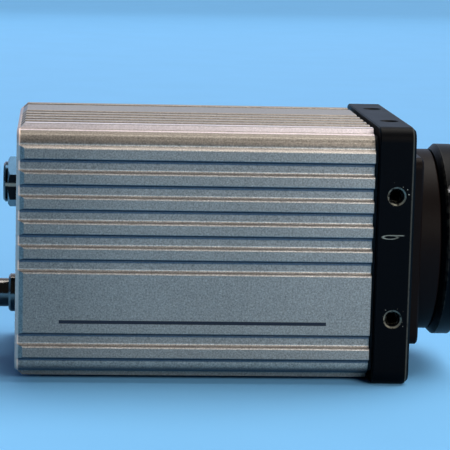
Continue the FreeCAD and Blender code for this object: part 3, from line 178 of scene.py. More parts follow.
class Finish:
    """One material or world: nodes are added by kind, and surface() or sky() closes it."""

    def __init__(self, name, group="materials", place="Object"):
        self.owner = getattr(bpy.data, group).new(name)
        self.owner.use_nodes = True
        self.tree = self.owner.node_tree
        self.tree.nodes.clear()
        self.place = self.add("ShaderNodeTexCoord", output=place)
        self.x, self.y, self.z = self.split(self.place)

    def feed(self, socket, value):
        """Links a signal to a socket, or writes a plain value to it."""
        if isinstance(value, Signal):
            self.tree.links.new(value.socket, socket)
        elif isinstance(value, tuple) and len(value) == 3 and socket.type == "RGBA":
            socket.default_value = (*value, 1.0)
        else:
            socket.default_value = value

    def add(self, kind, settings=None, sockets=None, output=0):
        """Adds a node: first its settings, then the values or links of its sockets."""
        node = self.tree.nodes.new(kind)
        for key, value in (settings or {}).items():
            if key == "stops":
                self.set_stops(node.color_ramp, value)
            else:
                setattr(node, key, value)
        for key, value in (sockets or {}).items():
            self.feed(node.inputs[key], value)
        return Signal(self, node.outputs[output]) if node.outputs else None

    @staticmethod
    def set_stops(ramp, stops):
        """Writes the stops of a colour ramp."""
        while len(ramp.elements) < len(stops):
            ramp.elements.new(0.5)
        for element, (position, color) in zip(ramp.elements, stops):
            element.position = position
            element.color = (*color, 1.0)

    def math(self, operation, *terms):
        return self.add("ShaderNodeMath", {"operation": operation}, dict(enumerate(terms)))

    def split(self, vector):
        """The three parts of a vector."""
        first = self.add("ShaderNodeSeparateXYZ", None, {0: vector}, 0)
        node = first.socket.node
        return first, Signal(self, node.outputs[1]), Signal(self, node.outputs[2])

    def facing(self):
        """The three parts of the direction that the surface faces."""
        return self.split(self.add("ShaderNodeNewGeometry", output="Normal"))

    def step(self, value, edge, soft):
        """0 below an edge and 1 above it, with a soft change."""
        return self.add(
            "ShaderNodeMapRange",
            {"interpolation_type": "SMOOTHSTEP"},
            {"Value": value, "From Min": edge - soft, "From Max": edge + soft},
        )

    def band(self, value, low, high, soft):
        """1 between two edges and 0 outside them, with soft changes."""
        return self.step(value, low, soft) * (1 - self.step(value, high, soft))

    def noise(self, grain, detail=2.0, rough=0.5, stretch=(1, 1, 1)):
        """Even noise whose lumps are about one grain across, in metres."""
        place = self.place
        if stretch != (1, 1, 1):
            place = self.add("ShaderNodeMapping", None, {"Vector": place, "Scale": stretch})
        sockets = {"Vector": place, "Scale": 1 / grain, "Detail": detail, "Roughness": rough}
        return self.add("ShaderNodeTexNoise", None, sockets)

    def specks(self, spacing, size):
        """Small round specks, about one in each cell of the spacing."""
        sockets = {"Vector": self.place, "Scale": 1 / spacing, "Randomness": 1.0}
        distance = self.add("ShaderNodeTexVoronoi", {"feature": "F1"}, sockets)
        return 1 - self.step(distance, size / spacing, 0.3 * size / spacing)

    def mix(self, share, low, high):
        """A colour between two colours."""
        sockets = {0: share, 6: low, 7: high}
        return self.add("ShaderNodeMix", {"data_type": "RGBA"}, sockets, 2)

    def tint(self, color, factor):
        """A colour made lighter or darker by a factor."""
        grey = self.add(
            "ShaderNodeCombineColor", None, {"Red": factor, "Green": factor, "Blue": factor}
        )
        settings = {"data_type": "RGBA", "blend_type": "MULTIPLY"}
        return self.add("ShaderNodeMix", settings, {0: 1.0, 6: color, 7: grey}, 2)

    def bump(self, height, depth, strength=1.0):
        """A normal raised by a height signal of the given depth, in metres."""
        sockets = {"Strength": strength, "Distance": depth, "Height": height}
        return self.add("ShaderNodeBump", None, sockets)

    def surface(self, **sockets):
        """Closes the finish with one shader; names are the shader's sockets."""
        named = {key.replace("_", " "): value for key, value in sockets.items()}
        shader = self.add("ShaderNodeBsdfPrincipled", None, named)
        self.add("ShaderNodeOutputMaterial", None, {"Surface": shader})
        return self.owner

    def sky(self, color, strength):
        """Closes a world with one even or graded colour."""
        back = self.add("ShaderNodeBackground", None, {"Color": color, "Strength": strength})
        self.add("ShaderNodeOutputWorld", None, {"Surface": back})
        return self.owner


def dress(material, *names):
    """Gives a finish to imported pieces."""
    for name in names:
        NODES[name].material_slots[0].material = material


# --- modelling work -----------------------------------------------------------------------------


def start_piece():
    """Leaves edit mode and deselects everything."""
    if bpy.context.object and bpy.context.object.mode != "OBJECT":
        bpy.ops.object.mode_set(mode="OBJECT")
    bpy.ops.object.select_all(action="DESELECT")


def finish_piece(piece, name, body, material):
    """Names a modelled piece, puts its place into its mesh and lets it ride on a body."""
    start_piece()
    piece.select_set(True)
    bpy.context.view_layer.objects.active = piece
    bpy.ops.object.transform_apply(location=True, rotation=True, scale=True)
    bpy.ops.object.mode_set(mode="EDIT")
    bpy.ops.mesh.select_all(action="SELECT")
    bpy.ops.mesh.remove_doubles(threshold=1e-7)
    bpy.ops.mesh.normals_make_consistent(inside=False)
    bpy.ops.object.mode_set(mode="OBJECT")
    bpy.ops.object.shade_smooth_by_angle(angle=math.radians(35))
    piece.name = name
    piece.data.name = name
    piece.data.materials.clear()
    piece.data.materials.append(material)
    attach(piece, body)


def turned_thread(radius, ridge, pitch, turns, steps):
    """A thread's ridge along +Z from the origin, on the inside of a bore."""
    sunk = 0.45 * ridge
    start_piece()
    bpy.ops.mesh.primitive_circle_add(
        vertices=3,
        radius=ridge,
        fill_type="NOTHING",
        location=(radius - sunk, 0, 0),
        rotation=(math.pi / 2, math.pi / 2, 0),
    )
    piece = bpy.context.object
    bpy.ops.object.transform_apply(location=True, rotation=True, scale=True)
    screw = piece.modifiers.new("thread", "SCREW")
    screw.axis = "Z"
    screw.steps = steps
    screw.render_steps = steps
    screw.iterations = turns
    screw.screw_offset = pitch
    screw.use_normal_calculate = True
    bpy.ops.object.modifier_apply(modifier=screw.name)
    bpy.ops.object.mode_set(mode="EDIT")
    bpy.ops.mesh.select_all(action="SELECT")
    bpy.ops.mesh.fill_holes(sides=3)
    bpy.ops.object.mode_set(mode="OBJECT")
    return piece


def copy_piece(piece, place, turn):
    """A copy with its own mesh, turned by Euler angles and moved to a place."""
    start_piece()
    piece.select_set(True)
    bpy.context.view_layer.objects.active = piece
    bpy.ops.object.duplicate(linked=False)
    copy = bpy.context.object
    copy.rotation_euler = turn
    copy.location = place
    return copy


def join_pieces(pieces):
    """One object out of several."""
    start_piece()
    for piece in pieces:
        piece.select_set(True)
    bpy.context.view_layer.objects.active = pieces[0]
    bpy.ops.object.join()
    return bpy.context.object


# --- settings -----------------------------------------------------------------------------------


def color_setting(name, description, color):
    """A colour setting."""
    return FloatVectorProperty(name=name, description=description, subtype="COLOR", default=color)


def length_setting(name, description, metres):
    """A setting that is a length."""
    return FloatProperty(name=name, description=description, unit="LENGTH", default=metres)


def number_setting(name, description, value):
    """A setting that is a plain number."""
    return FloatProperty(name=name, description=description, default=value)


class VISION_PG_housing(bpy.types.PropertyGroup):
    """Looks of the ribbed housing."""

    metal: color_setting("Metal", "Blasted aluminium", tone(158, 150, 141))
    grain: length_setting("Grain", "Size of the blasted grain", 0.42 * MM)
    # Brown film on the ribs' ledges and the top's flanks: dust and painted shade.
    dust_and_shade: color_setting("Dust", "Film on the ribs' ledges", tone(112, 102, 94))
    shade: color_setting("Shade", "Undersides of the ribs", tone(18, 68, 96))
    ink: color_setting("Ink", "Printed line", tone(10, 14, 34))
    line_width: length_setting("Line width", "Width of the printed line", 0.85 * MM)


class VISION_PG_black(bpy.types.PropertyGroup):
    """Looks of the black anodised pieces."""

    black: color_setting("Black", "Anodised black", tone(0, 1, 4))
    barrel: color_setting("Barrel", "Brownish black of the lens base", tone(19, 13, 12))
    worn: color_setting("Worn", "Bare metal in worn spots", tone(190, 186, 168))


class VISION_PG_threads(bpy.types.PropertyGroup):
    """Sizes of the cut threads and the contacts."""

    lens_pitch: length_setting("Lens pitch", "Pitch of the lens thread", 25.4 / 32 * MM)
    side_pitch: length_setting("Side pitch", "Pitch of the side holes", 0.7 * MM)
    contacts: IntProperty(
        name="Contacts", description="Contacts in one row of the data socket", default=13
    )


class VISION_PG_studio(bpy.types.PropertyGroup):
    """The studio round the camera."""

    floor: color_setting("Floor", "Colour of the floor", tone(116, 188, 243))
    sky: color_setting("Sky", "Soft light behind", tone(96, 150, 200))
    room: color_setting("Room", "Soft light from all round", tone(50, 50, 50))
    sun_power: number_setting("Top light", "Strength of the light above", 2.75)
    back_power: number_setting("Back light", "Light behind, in watts", 3.0)
    fill_power: number_setting("Fill light", "Light at the front, in watts", 6.6)
    focal: number_setting("Focal length", "Focal length of the view, in millimetres", 173.85)


# --- operators: finishes ------------------------------------------------------------------------


class HousingFinish(Finish):
    """Blasted aluminium, with masks for the housing's ribs, grooves, corners and rear edge."""

    # Tones of the painted highlights, and of the rear bevel: bare metal with a painted highlight.
    LEDGE_HIGHLIGHT_TONE = tone(240, 238, 236)
    WARM_HIGHLIGHT = tone(246, 240, 232)
    LIT = tone(250, 240, 246)
    BEVEL = tone(250, 218, 200)

    # How far the painted shade and highlights of a corner reach in from the outer sides.
    CORNER_HEIGHT = 4.4 * MM
    CORNER_WIDTH = 6.0 * MM
    CAP_WIDTH = 8.0 * MM

    # Bands are (start, end, softness). These are of the upright part of the direction that a
    # corner faces, from 0 at the side to 1 at the top, or at the bottom for the lower turn. The
    # upper and side turns take painted shade, and the lower turn takes a painted highlight.
    UPPER_TURN_SHADE = (0.74, 0.945, 0.03)
    SIDE_TURN_SHADE = (0.0, 0.36, 0.08)
    LOWER_TURN_HIGHLIGHT = (0.05, 0.55, 0.1)

    # These are of the depth under the ribs' tops.
    FLANK = (RIB_CREST, RIB_ROOT, 0.04 * MM)
    RISE = (0.02 * MM, RIB_ROOT - 0.02 * MM, 0.03 * MM)
    DUST_AND_SHADE_BAND = (0.5 * MM, 0.9 * MM, 0.14 * MM)

    # These are of the height from the middle of the nearest rib, and the last two of the height
    # from the middle of the side. The lip band takes painted shade, and the glow and crest bands
    # take painted highlights.
    LIP_SHADE = (-2.3 * MM, -1.7 * MM, 0.16 * MM)
    GLOW = (1.78 * MM, 2.15 * MM, 0.1 * MM)
    CREST_HIGHLIGHT = (1.1 * MM, 1.32 * MM, 0.08 * MM)
    WIDE_LAND = (5.2 * MM, 19.0 * MM, 0.05 * MM)
    LAST_CREST = 26 * MM

    def __init__(self, look):
        super().__init__("blasted_aluminium")
        self.look = look
        self.low, self.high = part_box("housing")
        self.face_x, self.face_y, self.face_z = self.facing()
        self.down = -1 * self.face_z
        self.on_side = self.step(abs(self.face_y), 0.8, 0.1)
        self.near = 1 - self.step(self.y, 0.0, MM)
        self.depth = self.high.y - abs(self.y)
        self.from_rib = self.math("WRAP", self.z, RIB_PITCH / 2, -RIB_PITCH / 2)
        between = self.band(self.z, self.low.z + LONG_CORNER, self.high.z - LONG_CORNER, SOFT)
        self.flank = self.band(self.depth, *self.FLANK) * between
        self.groove = self.step(self.depth, RIB_ROOT - 0.02 * MM, 0.02 * MM) * between
        self.grain = self.noise(look.grain, 3.0, 0.7)
        self.bright = self.blasted()

    def blasted(self):
        """Brightness of the blasted metal's grain, with painted glints; the sides take painted
        shade towards the rear and a painted highlight towards the front.
        """
        lumps = self.noise(18 * MM, 2.0) - 0.5
        coarse = self.noise(1.6 * MM, 2.0) - 0.5
        drawn = self.noise(0.9 * MM, 2.0, 0.5, (0.012, 1, 1)) - 0.5
        # Painted glints on a few grains.
        glint = self.specks(0.9 * MM, 0.16 * MM) * self.step(self.noise(0.7 * MM), 0.55, 0.05)
        bright = 1.0 + 2.1 * (self.grain - 0.5) + 0.2 * coarse + 0.16 * lumps + 0.08 * drawn
        bright = bright + 0.4 * glint
        # Painted shade towards the rear of the sides, painted highlight towards the front.
        fade, soft = 18 * MM, 16 * MM
        rear = 1 - self.step(self.x, self.low.x + fade, soft)
        front = self.step(self.x, self.high.x - fade, soft)
        return bright * (1 + self.on_side * (0.1 * front - 0.2 * rear))

    def metal(self):
        """The metal, with painted shade and highlights round the long corners, and a painted
        highlight along the near top corner.
        """
        top, side, across = self.high.z, self.high.y, abs(self.y)
        corner = self.step(abs(self.z), top - self.CORNER_HEIGHT, SOFT)
        corner = corner * self.step(across, side - self.CORNER_WIDTH, 4 * SOFT)
        # Painted highlight on a corner's lower turn, painted shade on its upper and side turns.
        turn = 0.35 * self.band(self.down, *self.LOWER_TURN_HIGHLIGHT)
        turn = turn - 0.5 * self.band(self.face_z, *self.UPPER_TURN_SHADE)
        turn = turn - 0.35 * self.band(self.face_z, *self.SIDE_TURN_SHADE)
        color = self.tint(tuple(self.look.metal), self.bright * (1 + corner * turn))

        # Painted highlight on the flat top by the near corner and on the last flank under it.
        cap_highlight = self.step(self.face_z, 0.95, 0.03)
        cap_highlight = cap_highlight * self.step(across, side - self.CAP_WIDTH, 0.2 * self.CAP_WIDTH)
        rise_highlight = self.band(top - self.z, *self.RISE) * self.on_side
        rise_highlight = rise_highlight * self.band(across, side - 5.4 * MM, side - 2.0 * MM, SOFT)
        lit = self.near * (0.8 * cap_highlight).most(rise_highlight)
        return self.mix(lit, color, self.tint(self.LIT, 0.6 + 0.4 * self.bright))

    def ribs(self, color):
        """Painted highlights and a film of dust and painted shade on the upper flanks, and painted
        shade on the lower flanks; gives the film's share too.
        """
        ledge = self.flank * self.step(self.face_z, 0.6, 0.1)
        under = self.flank * self.step(self.down, 0.6, 0.1)
        high_ledge = self.step(self.z, self.high.z - RIB_PITCH, MM)
        dust_and_shade = self.band(self.depth, *self.DUST_AND_SHADE_BAND) * (1 - high_ledge)
        roof = self.band(self.high.z - abs(self.z), *self.FLANK)
        roof = roof * self.step(abs(self.face_y), 0.6, 0.1)
        roof = roof * self.step(self.high.y - LONG_CORNER - abs(self.y), 0.0, SOFT)
        # A brown film of dust and painted shade on the ledges and the top's flanks.
        dust_and_shade_film = (ledge * dust_and_shade).most(0.32 * roof) * (0.55 + 0.5 * self.noise(2.2 * MM, 3.0))
        # Painted highlight on the upper flanks, painted shade on the lower flanks.
        ledge_highlight = self.tint(self.LEDGE_HIGHLIGHT_TONE, self.bright)
        color = self.mix((0.8 - 0.7 * high_ledge) * ledge, color, ledge_highlight)
        color = self.mix(dust_and_shade_film, color, tuple(self.look.dust_and_shade))
        return self.mix(0.95 * under, color, tuple(self.look.shade)), dust_and_shade_film

    def grooves(self, color):
        """Painted shade and painted highlights in the grooves' bottoms, painted highlights on the
        ribs' lips, and painted shade on the sole.
        """
        shade = tuple(self.look.shade)
        # Painted shade in a groove's bottom under each rib.
        lip_shade = self.band(self.from_rib, *self.LIP_SHADE) * self.groove
        color = self.mix(0.75 * lip_shade, color, shade)

        # Painted highlights in a groove's bottom above each rib and along the ribs' crests.
        glow = self.band(self.from_rib, *self.GLOW) * self.groove
        wide = self.band(self.z * self.math("SIGN", self.y), *self.WIDE_LAND)
        sunk = self.step(self.depth, 0.06 * MM, 0.02 * MM)
        past = self.step(abs(self.z), self.LAST_CREST, SOFT)
        crest_highlight = self.band(self.from_rib, *self.CREST_HIGHLIGHT) * self.on_side
        crest_highlight = crest_highlight * (1 - sunk) * (1 - wide) * (1 - past)
        warm_highlight = self.tint(self.WARM_HIGHLIGHT, self.bright)
        color = self.mix(0.6 * glow.most(crest_highlight), color, warm_highlight)

        # Painted shade on the downward faces of the housing.
        sole_shade = (1 - self.flank) * self.step(self.down, 0.66, 0.32)
        return self.mix(0.9 * sole_shade, color, shade)

    def rear_edge(self, color):
        """A pale bevel, bare metal with a painted highlight, and a faint painted shade in front of
        it;
        gives the bevel's share too.
        """
        rear = self.low.x
        edge = self.band(self.x, rear - MM, rear + 0.85 * MM, 0.12 * MM)
        edge = edge * self.step(abs(self.face_y).most(abs(self.face_z)), 0.3, 0.1)
        # Painted shade on the rear-facing faces just in front of the bevel.
        end_shade = self.band(self.x, rear + 0.95 * MM, rear + 2.1 * MM, 0.15 * MM)
        end_shade = end_shade * self.step(-1 * self.face_x, 0.4, 0.1)
        end_shade = end_shade * (1 - self.step(self.face_z, 0.1, 0.1))
        # Bare metal and a painted highlight on the bevel, painted shade in front of it.
        color = self.mix(0.75 * edge, color, self.BEVEL)
        return self.mix(0.15 * end_shade, color, tuple(self.look.shade)), edge

    def printed_line(self, color):
        """One plain line along the near side; gives the line's share too."""
        start, end = self.low.x + PRINTED_LINE["start"], self.low.x + PRINTED_LINE["end"]
        height, half = PRINTED_LINE["height"], self.look.line_width / 2
        line = self.band(self.x, start, end, 0.03 * MM)
        line = line * self.band(self.z, height - half, height + half, 0.04 * MM) * self.near
        return self.mix(line, color, tuple(self.look.ink)), line


class VISION_OT_housing(bpy.types.Operator):
    """Blasted aluminium for the extruded housing"""

    bl_idname = "vision.housing"
    bl_label = "Dress housing"

    def execute(self, context):
        finish = HousingFinish(context.scene.vision_housing)
        color, dust_and_shade_film = finish.ribs(finish.metal())
        color, edge = finish.rear_edge(finish.grooves(color))
        color, line = finish.printed_line(color)
        material = finish.surface(
            Base_Color=color,
            Metallic=0.82 - 0.7 * line.most(0.6 * dust_and_shade_film).most(0.7 * edge),
            Roughness=0.36 + 0.16 * finish.grain + 0.12 * dust_and_shade_film,
            Normal=finish.bump(finish.grain, 0.04 * MM, 0.7),
        )
        dress(material, "housing")
        return {"FINISHED"}


def worn_black(name, look, wear, rough=0.38, grain_size=0.3 * MM, stretch=(1, 1, 1), black=None):
    """Black anodised metal; wear is a function of the finish that gives the bare share."""
    finish = Finish(name)
    grain = finish.noise(grain_size, 3.0, 0.6, stretch)
    clouds = finish.noise(9 * MM, 3.0)
    color = finish.tint(tuple(look.black if black is None else black), 0.75 + 0.5 * grain)
    bare = wear(finish)
    color = finish.mix(bare, color, tuple(look.worn))
    return finish.surface(
        Base_Color=color,
        Metallic=0.9 * bare,
        Roughness=rough + 0.14 * grain + 0.10 * (clouds - 0.5),
        Normal=finish.bump(grain, 0.012 * MM, 0.6),
        Specular_IOR_Level=0.06,
    )


class VISION_OT_plate(bpy.types.Operator):
    """Black anodised front plate, worn bare round its mounting holes"""

    bl_idname = "vision.plate"
    bl_label = "Dress front plate"

    def execute(self, context):
        look = context.scene.vision_black
        low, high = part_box("front_plate")
        middle = (low.x + high.x) / 2

        def wear(finish):
            run = finish.x - middle
            on_side = finish.step(abs(finish.y), high.y - 1.2 * MM, SOFT)
            patchy = finish.noise(1.1 * MM, 3.0, 0.6)

            off_hole = abs(finish.z) - SIDE_HOLE_REACH
            radius = (run * run + off_hole * off_hole) ** 0.5
            rim = finish.band(radius, *WORN_RIM) * on_side
            rim = rim * finish.step(patchy, 0.44, 0.12)
            halo = finish.band(radius, *WORN_HALO) * on_side
            flecks = finish.specks(0.75 * MM, 0.13 * MM) * finish.step(patchy, 0.58, 0.04) * halo

            nick_x = (run - NICK_AT[0]) / NICK_HALF[0]
            nick_z = (finish.z - NICK_AT[1]) / NICK_HALF[1]
            reach = (nick_x * nick_x + nick_z * nick_z) ** 0.5
            hook = finish.band(reach, 0.74, 1.02, 0.14)
            hook = hook * (1 - 0.6 * finish.step(nick_x, 0.5, 0.3))
            barb = finish.band(nick_z, 0.62, 1.02, 0.2)
            barb = barb * finish.band(run, -1.4 * MM, 2.0 * MM, 0.4 * MM)
            nick = hook.most(0.8 * barb) * (1 - finish.step(finish.y, 0.0, MM))
            nick = nick * finish.step(patchy, 0.33, 0.12) * on_side

            # A faint, patchy painted highlight along the front chamfer, given as bare metal.
            edge = finish.band(finish.x, high.x - 0.95 * MM, high.x - 0.55 * MM, SOFT)
            edge = 0.10 * edge * finish.step(patchy, 0.3, 0.2)
            return (0.62 * rim).most(0.7 * flecks).most(0.65 * nick).most(edge)

        dress(worn_black("plate_black", look, wear), "front_plate")
        return {"FINISHED"}


class VISION_OT_lens_end(bpy.types.Operator):
    """Turned black finish for the lens base and the focus ring"""

    bl_idname = "vision.lens_end"
    bl_label = "Dress lens end"

    def execute(self, context):
        look = context.scene.vision_black
        low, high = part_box("focus_ring")

        def ring_wear(finish):
            radius = (finish.y * finish.y + finish.z * finish.z) ** 0.5
            start, end, soft = 0.9 * MM, 1.6 * MM, 0.2 * MM
            rim = finish.band(finish.x, low.x + start, low.x + end, soft)
            rim = rim + finish.band(finish.x, high.x - end, high.x - start, soft)
            outer = finish.step(radius, high.y - MM, soft)
            return 0.03 * rim * outer * finish.step(finish.noise(1.5 * MM, 3.0), 0.5, 0.1)

        def base_wear(finish):
            flecks = finish.specks(4.5 * MM, 0.12 * MM)
            return 0.35 * flecks * finish.step(finish.noise(6 * MM), 0.6, 0.05)

        grain_size, turned = 0.6 * MM, (14, 1, 1)
        ring = worn_black("ring_black", look, ring_wear, 0.34, grain_size, turned)
        base = worn_black("base_black", look, base_wear, 0.36, grain_size, turned, look.barrel)
        dress(ring, "focus_ring")
        dress(base, "lens_base", "filter_retainer")
        return {"FINISHED"}


class VISION_OT_back(bpy.types.Operator):
    """Black anodised back panel and the rubber gasket"""

    bl_idname = "vision.back"
    bl_label = "Dress back panel"

    def execute(self, context):
        look = context.scene.vision_black
        low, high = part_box("back_panel")

        def wear(finish):
            reach = abs(finish.y).most(abs(finish.z))
            edge = finish.step(reach, high.y - 0.25 * MM, SOFT)
            return 0.25 * edge * finish.step(finish.noise(2 * MM, 3.0), 0.55, 0.05)

        dress(worn_black("panel_black", look, wear, 0.42, 0.35 * MM), "back_panel")
        rubber = Finish("gasket_rubber")
        grain = rubber.noise(0.25 * MM, 3.0, 0.6)
        material = rubber.surface(
            Base_Color=rubber.tint(tone(26, 26, 29), 0.7 + 0.6 * grain),
            Roughness=0.72 + 0.15 * grain,
            Normal=rubber.bump(grain, 0.02 * MM, 0.6),
        )
        dress(material, "front_gasket")
        return {"FINISHED"}


def plated(name, color, rough):
    """Plated metal with turning marks and a little dulling."""
    finish = Finish(name)
    marks = finish.noise(0.5 * MM, 2.0, 0.5, (9, 1, 1))
    clouds = finish.noise(2.4 * MM, 3.0)
    return finish.surface(
        Base_Color=finish.tint(color, 0.86 + 0.28 * clouds),
        Metallic=1.0,
        Roughness=rough + 0.12 * clouds,
        Normal=finish.bump(marks, 0.006 * MM, 0.5),
    )


class VISION_OT_screws(bpy.types.Operator):
    """Blackened and bright steel screws"""

    bl_idname = "vision.screws"
    bl_label = "Dress screws"

    def execute(self, context):
        look = context.scene.vision_black

        def wear(finish):
            return 0.10 + 0.25 * finish.step(finish.noise(0.9 * MM, 3.0), 0.66, 0.1)

        black = worn_black("screw_black", look, wear, 0.26, 0.2 * MM)
        dress(black, "lens_base_screws", "front_plate_screws", "back_panel_screws")
        bright = plated("bright_steel", tone(196, 196, 200), 0.22)
        dress(bright, "ring_set_screws")
        zinc = plated("zinc_steel", tone(176, 180, 186), 0.3)
        dress(zinc, "sensor_board_screws", "stack_screws")
        return {"FINISHED"}


class VISION_OT_glass(bpy.types.Operator):
    """Coated filter glass, cover glass and the sensor under them"""

    bl_idname = "vision.glass"
    bl_label = "Dress glass and sensor"

    def execute(self, context):
        coated = Finish("filter_coating")
        sheen = coated.noise(7 * MM, 2.0)
        color = coated.mix(sheen, tone(120, 190, 176), tone(168, 132, 190))
        rough = 0.05 + 0.04 * sheen
        material = coated.surface(Base_Color=color, Roughness=rough, Alpha=0.32, IOR=1.52)
        dress(material, "filter_glass")

        clear = Finish("cover_clear")
        dusty = clear.noise(3 * MM, 3.0)
        color = clear.mix(dusty, tone(214, 232, 232), tone(200, 220, 224))
        rough = 0.04 + 0.05 * dusty
        material = clear.surface(Base_Color=color, Roughness=rough, Alpha=0.25, IOR=1.52)
        dress(material, "sensor_cover_glass")

        die = Finish("sensor_silicon")
        cell_size = 0.25 * MM
        grid = die.math("PINGPONG", die.y + 0.02, cell_size) / cell_size
        rows = die.math("PINGPONG", die.z + 0.02, cell_size) / cell_size
        cell = 0.5 + 0.5 * die.step(grid.least(rows), 0.12, 0.05)
        color = die.mix(cell, tone(60, 38, 66), tone(88, 96, 148))
        material = die.surface(Base_Color=color, Metallic=0.6, Roughness=0.18 + 0.1 * cell)
        dress(material, "sensor_die")

        ceramic = Finish("dark_ceramic")
        grain = ceramic.noise(0.3 * MM, 3.0)
        material = ceramic.surface(
            Base_Color=ceramic.tint(tone(86, 82, 84), 0.8 + 0.4 * grain),
            Roughness=0.55 + 0.1 * grain,
            Normal=ceramic.bump(grain, 0.01 * MM, 0.5),
        )
        dress(material, "sensor_package")
        return {"FINISHED"}


def nickel_with_painted_reflections():
    """Polished nickel of the power socket with painted reflections: blue above, dark on the
    flats, with one painted highlight streak.
    """
    low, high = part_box("power_socket_nut")
    finish = Finish("nickel_banded")
    face_x, face_y, face_z = finish.facing()
    rear = finish.step(-1 * face_x, 0.5, 0.1)
    height = finish.z - (low.z + high.z) / 2
    flat = 1 - finish.step(abs(face_z), 0.5, 0.15)
    streak_highlight = finish.band(height, -0.45 * MM, 0.3 * MM, 0.2 * MM) * flat
    streak_highlight = streak_highlight * finish.step(-1 * face_y, 0.3, 0.1)
    # Painted reflections on the facets, a painted highlight streak, plain nickel at the rear.
    color = finish.mix(finish.step(face_z, 0.5, 0.15), tone(30, 26, 26), tone(53, 79, 101))
    color = finish.mix(finish.step(-1 * face_z, 0.4, 0.15), color, tone(28, 42, 46))
    color = finish.mix(0.9 * streak_highlight, color, tone(255, 196, 160))
    color = finish.mix(rear, color, NICKEL)
    return finish.surface(
        Base_Color=color,
        Metallic=1 - 0.8 * streak_highlight,
        Roughness=NICKEL_ROUGH + 0.12 * finish.noise(2.4 * MM, 3.0),
    )


class VISION_OT_sockets(bpy.types.Operator):
    """Nickel shells, gold contacts and moulded inserts of the sockets"""

    bl_idname = "vision.sockets"
    bl_label = "Dress sockets"

    def execute(self, context):
        nickel = plated("nickel", NICKEL, NICKEL_ROUGH)
        dress(nickel, "sync_jack_body", "sync_jack_nut", "data_jack_posts")
        dress(nickel_with_painted_reflections(), "power_socket_shell", "power_socket_nut")
        gold = plated("gold", tone(226, 182, 98), 0.2)
        dress(gold, "power_socket_pins", "sync_jack_contact")
        dress(moulded("insert_black", tone(30, 30, 32), 0.45), "power_socket_insert")
        dress(moulded("insulator_white", tone(214, 210, 198), 0.42), "sync_jack_insulator")
        shell = moulded("socket_black", tone(34, 34, 37), 0.32)
        dress(shell, "data_socket_shell", "data_socket_tongue")
        return {"FINISHED"}


def moulded(name, color, rough):
    """Moulded plastic with a fine texture."""
    finish = Finish(name)
    grain = finish.noise(0.22 * MM, 3.0, 0.6)
    flow = finish.noise(5 * MM, 2.0)
    return finish.surface(
        Base_Color=finish.tint(color, 0.82 + 0.2 * grain + 0.16 * flow),
        Roughness=rough + 0.16 * grain,
        Normal=finish.bump(grain, 0.01 * MM, 0.5),
    )


class VISION_OT_electronics(bpy.types.Operator):
    """Boards, links, chips and spacers inside the housing"""

    bl_idname = "vision.electronics"
    bl_label = "Dress electronics"

    def execute(self, context):
        board = Finish("board_green")
        lane = 0.6 * MM
        lanes = board.math("PINGPONG", board.y + 0.05, lane) / lane
        bends = board.noise(6 * MM, 1.0)
        copper = board.step(lanes + 0.8 * (bends - 0.5), 0.72, 0.06)
        material = board.surface(
            Base_Color=board.mix(copper, tone(18, 74, 44), tone(40, 112, 66)),
            Roughness=0.3 + 0.15 * bends,
            Normal=board.bump(copper, 0.03 * MM, 0.6),
        )
        boards = [name for name in NODES if name.endswith("_board")]
        dress(material, *boards)
        links = [name for name in NODES if "_link_" in name]
        dress(moulded("link_black", tone(28, 28, 30), 0.5), *links)
        chips = moulded("chip_epoxy", tone(36, 36, 38), 0.6)
        dress(chips, "processor_chip", "memory_chips", "signal_converters")
        dress(moulded("coil_ferrite", tone(70, 68, 68), 0.55), "power_coils")
        dress(plated("can_aluminium", tone(190, 192, 198), 0.3), "power_capacitors")
        dress(plated("shim_brass", tone(206, 172, 104), 0.28), "sensor_board_shims")
        spacers = [name for name in NODES if name.endswith("_spacers")]
        dress(plated("spacer_nickel", tone(200, 198, 190), 0.26), *spacers)
        return {"FINISHED"}


# --- operators: modelled pieces -----------------------------------------------------------------


class VISION_OT_lens_thread(bpy.types.Operator):
    """Thread that the lens screws into"""

    bl_idname = "vision.lens_thread"
    bl_label = "Cut lens thread"

    def execute(self, context):
        sizes = context.scene.vision_threads
        mount = next(item for item in frame["record"]["mounts"] if item["name"] == "lens_mount")
        radius = mount["dims"]["r_mm"] * MM
        length = mount["dims"]["length_mm"] * MM
        pitch = sizes.lens_pitch
        turns = int(length / pitch) - 1
        piece = turned_thread(radius, 0.36 * pitch, pitch, turns, 96)
        piece.rotation_euler = (0, -math.pi / 2, 0)
        piece.location = (-0.6 * pitch, 0, 0)
        material = NODES["focus_ring"].material_slots[0].material
        finish_piece(piece, "lens_thread", "ring", material)
        return {"FINISHED"}


class VISION_OT_side_threads(bpy.types.Operator):
    """Threads of the mounting holes in the sides of the front plate"""

    bl_idname = "vision.side_threads"
    bl_label = "Cut side threads"

    def execute(self, context):
        sizes = context.scene.vision_threads
        low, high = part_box("front_plate")
        middle = (low.x + high.x) / 2
        pitch = sizes.side_pitch
        pattern = turned_thread(SIDE_HOLE_RADIUS, 0.34 * pitch, pitch, SIDE_HOLE_TURNS, 24)
        start = high.z - 1.1 * MM
        copies = []
        for quarter in range(4):
            turn = quarter * math.pi / 2
            for reach in (-SIDE_HOLE_REACH, SIDE_HOLE_REACH):
                across = math.cos(turn) * reach - math.sin(turn) * start
                up = math.sin(turn) * reach + math.cos(turn) * start
                copies.append(copy_piece(pattern, (middle, across, up), (turn + math.pi, 0, 0)))
        bpy.data.objects.remove(pattern)
        piece = join_pieces(copies)
        steel = worn_black(
            "side_thread_black",
            context.scene.vision_black,
            lambda finish: 0.25 * finish.step(finish.noise(0.8 * MM, 3.0), 0.55, 0.08),
            0.35,
        )
        finish_piece(piece, "side_threads", "camera", steel)
        return {"FINISHED"}


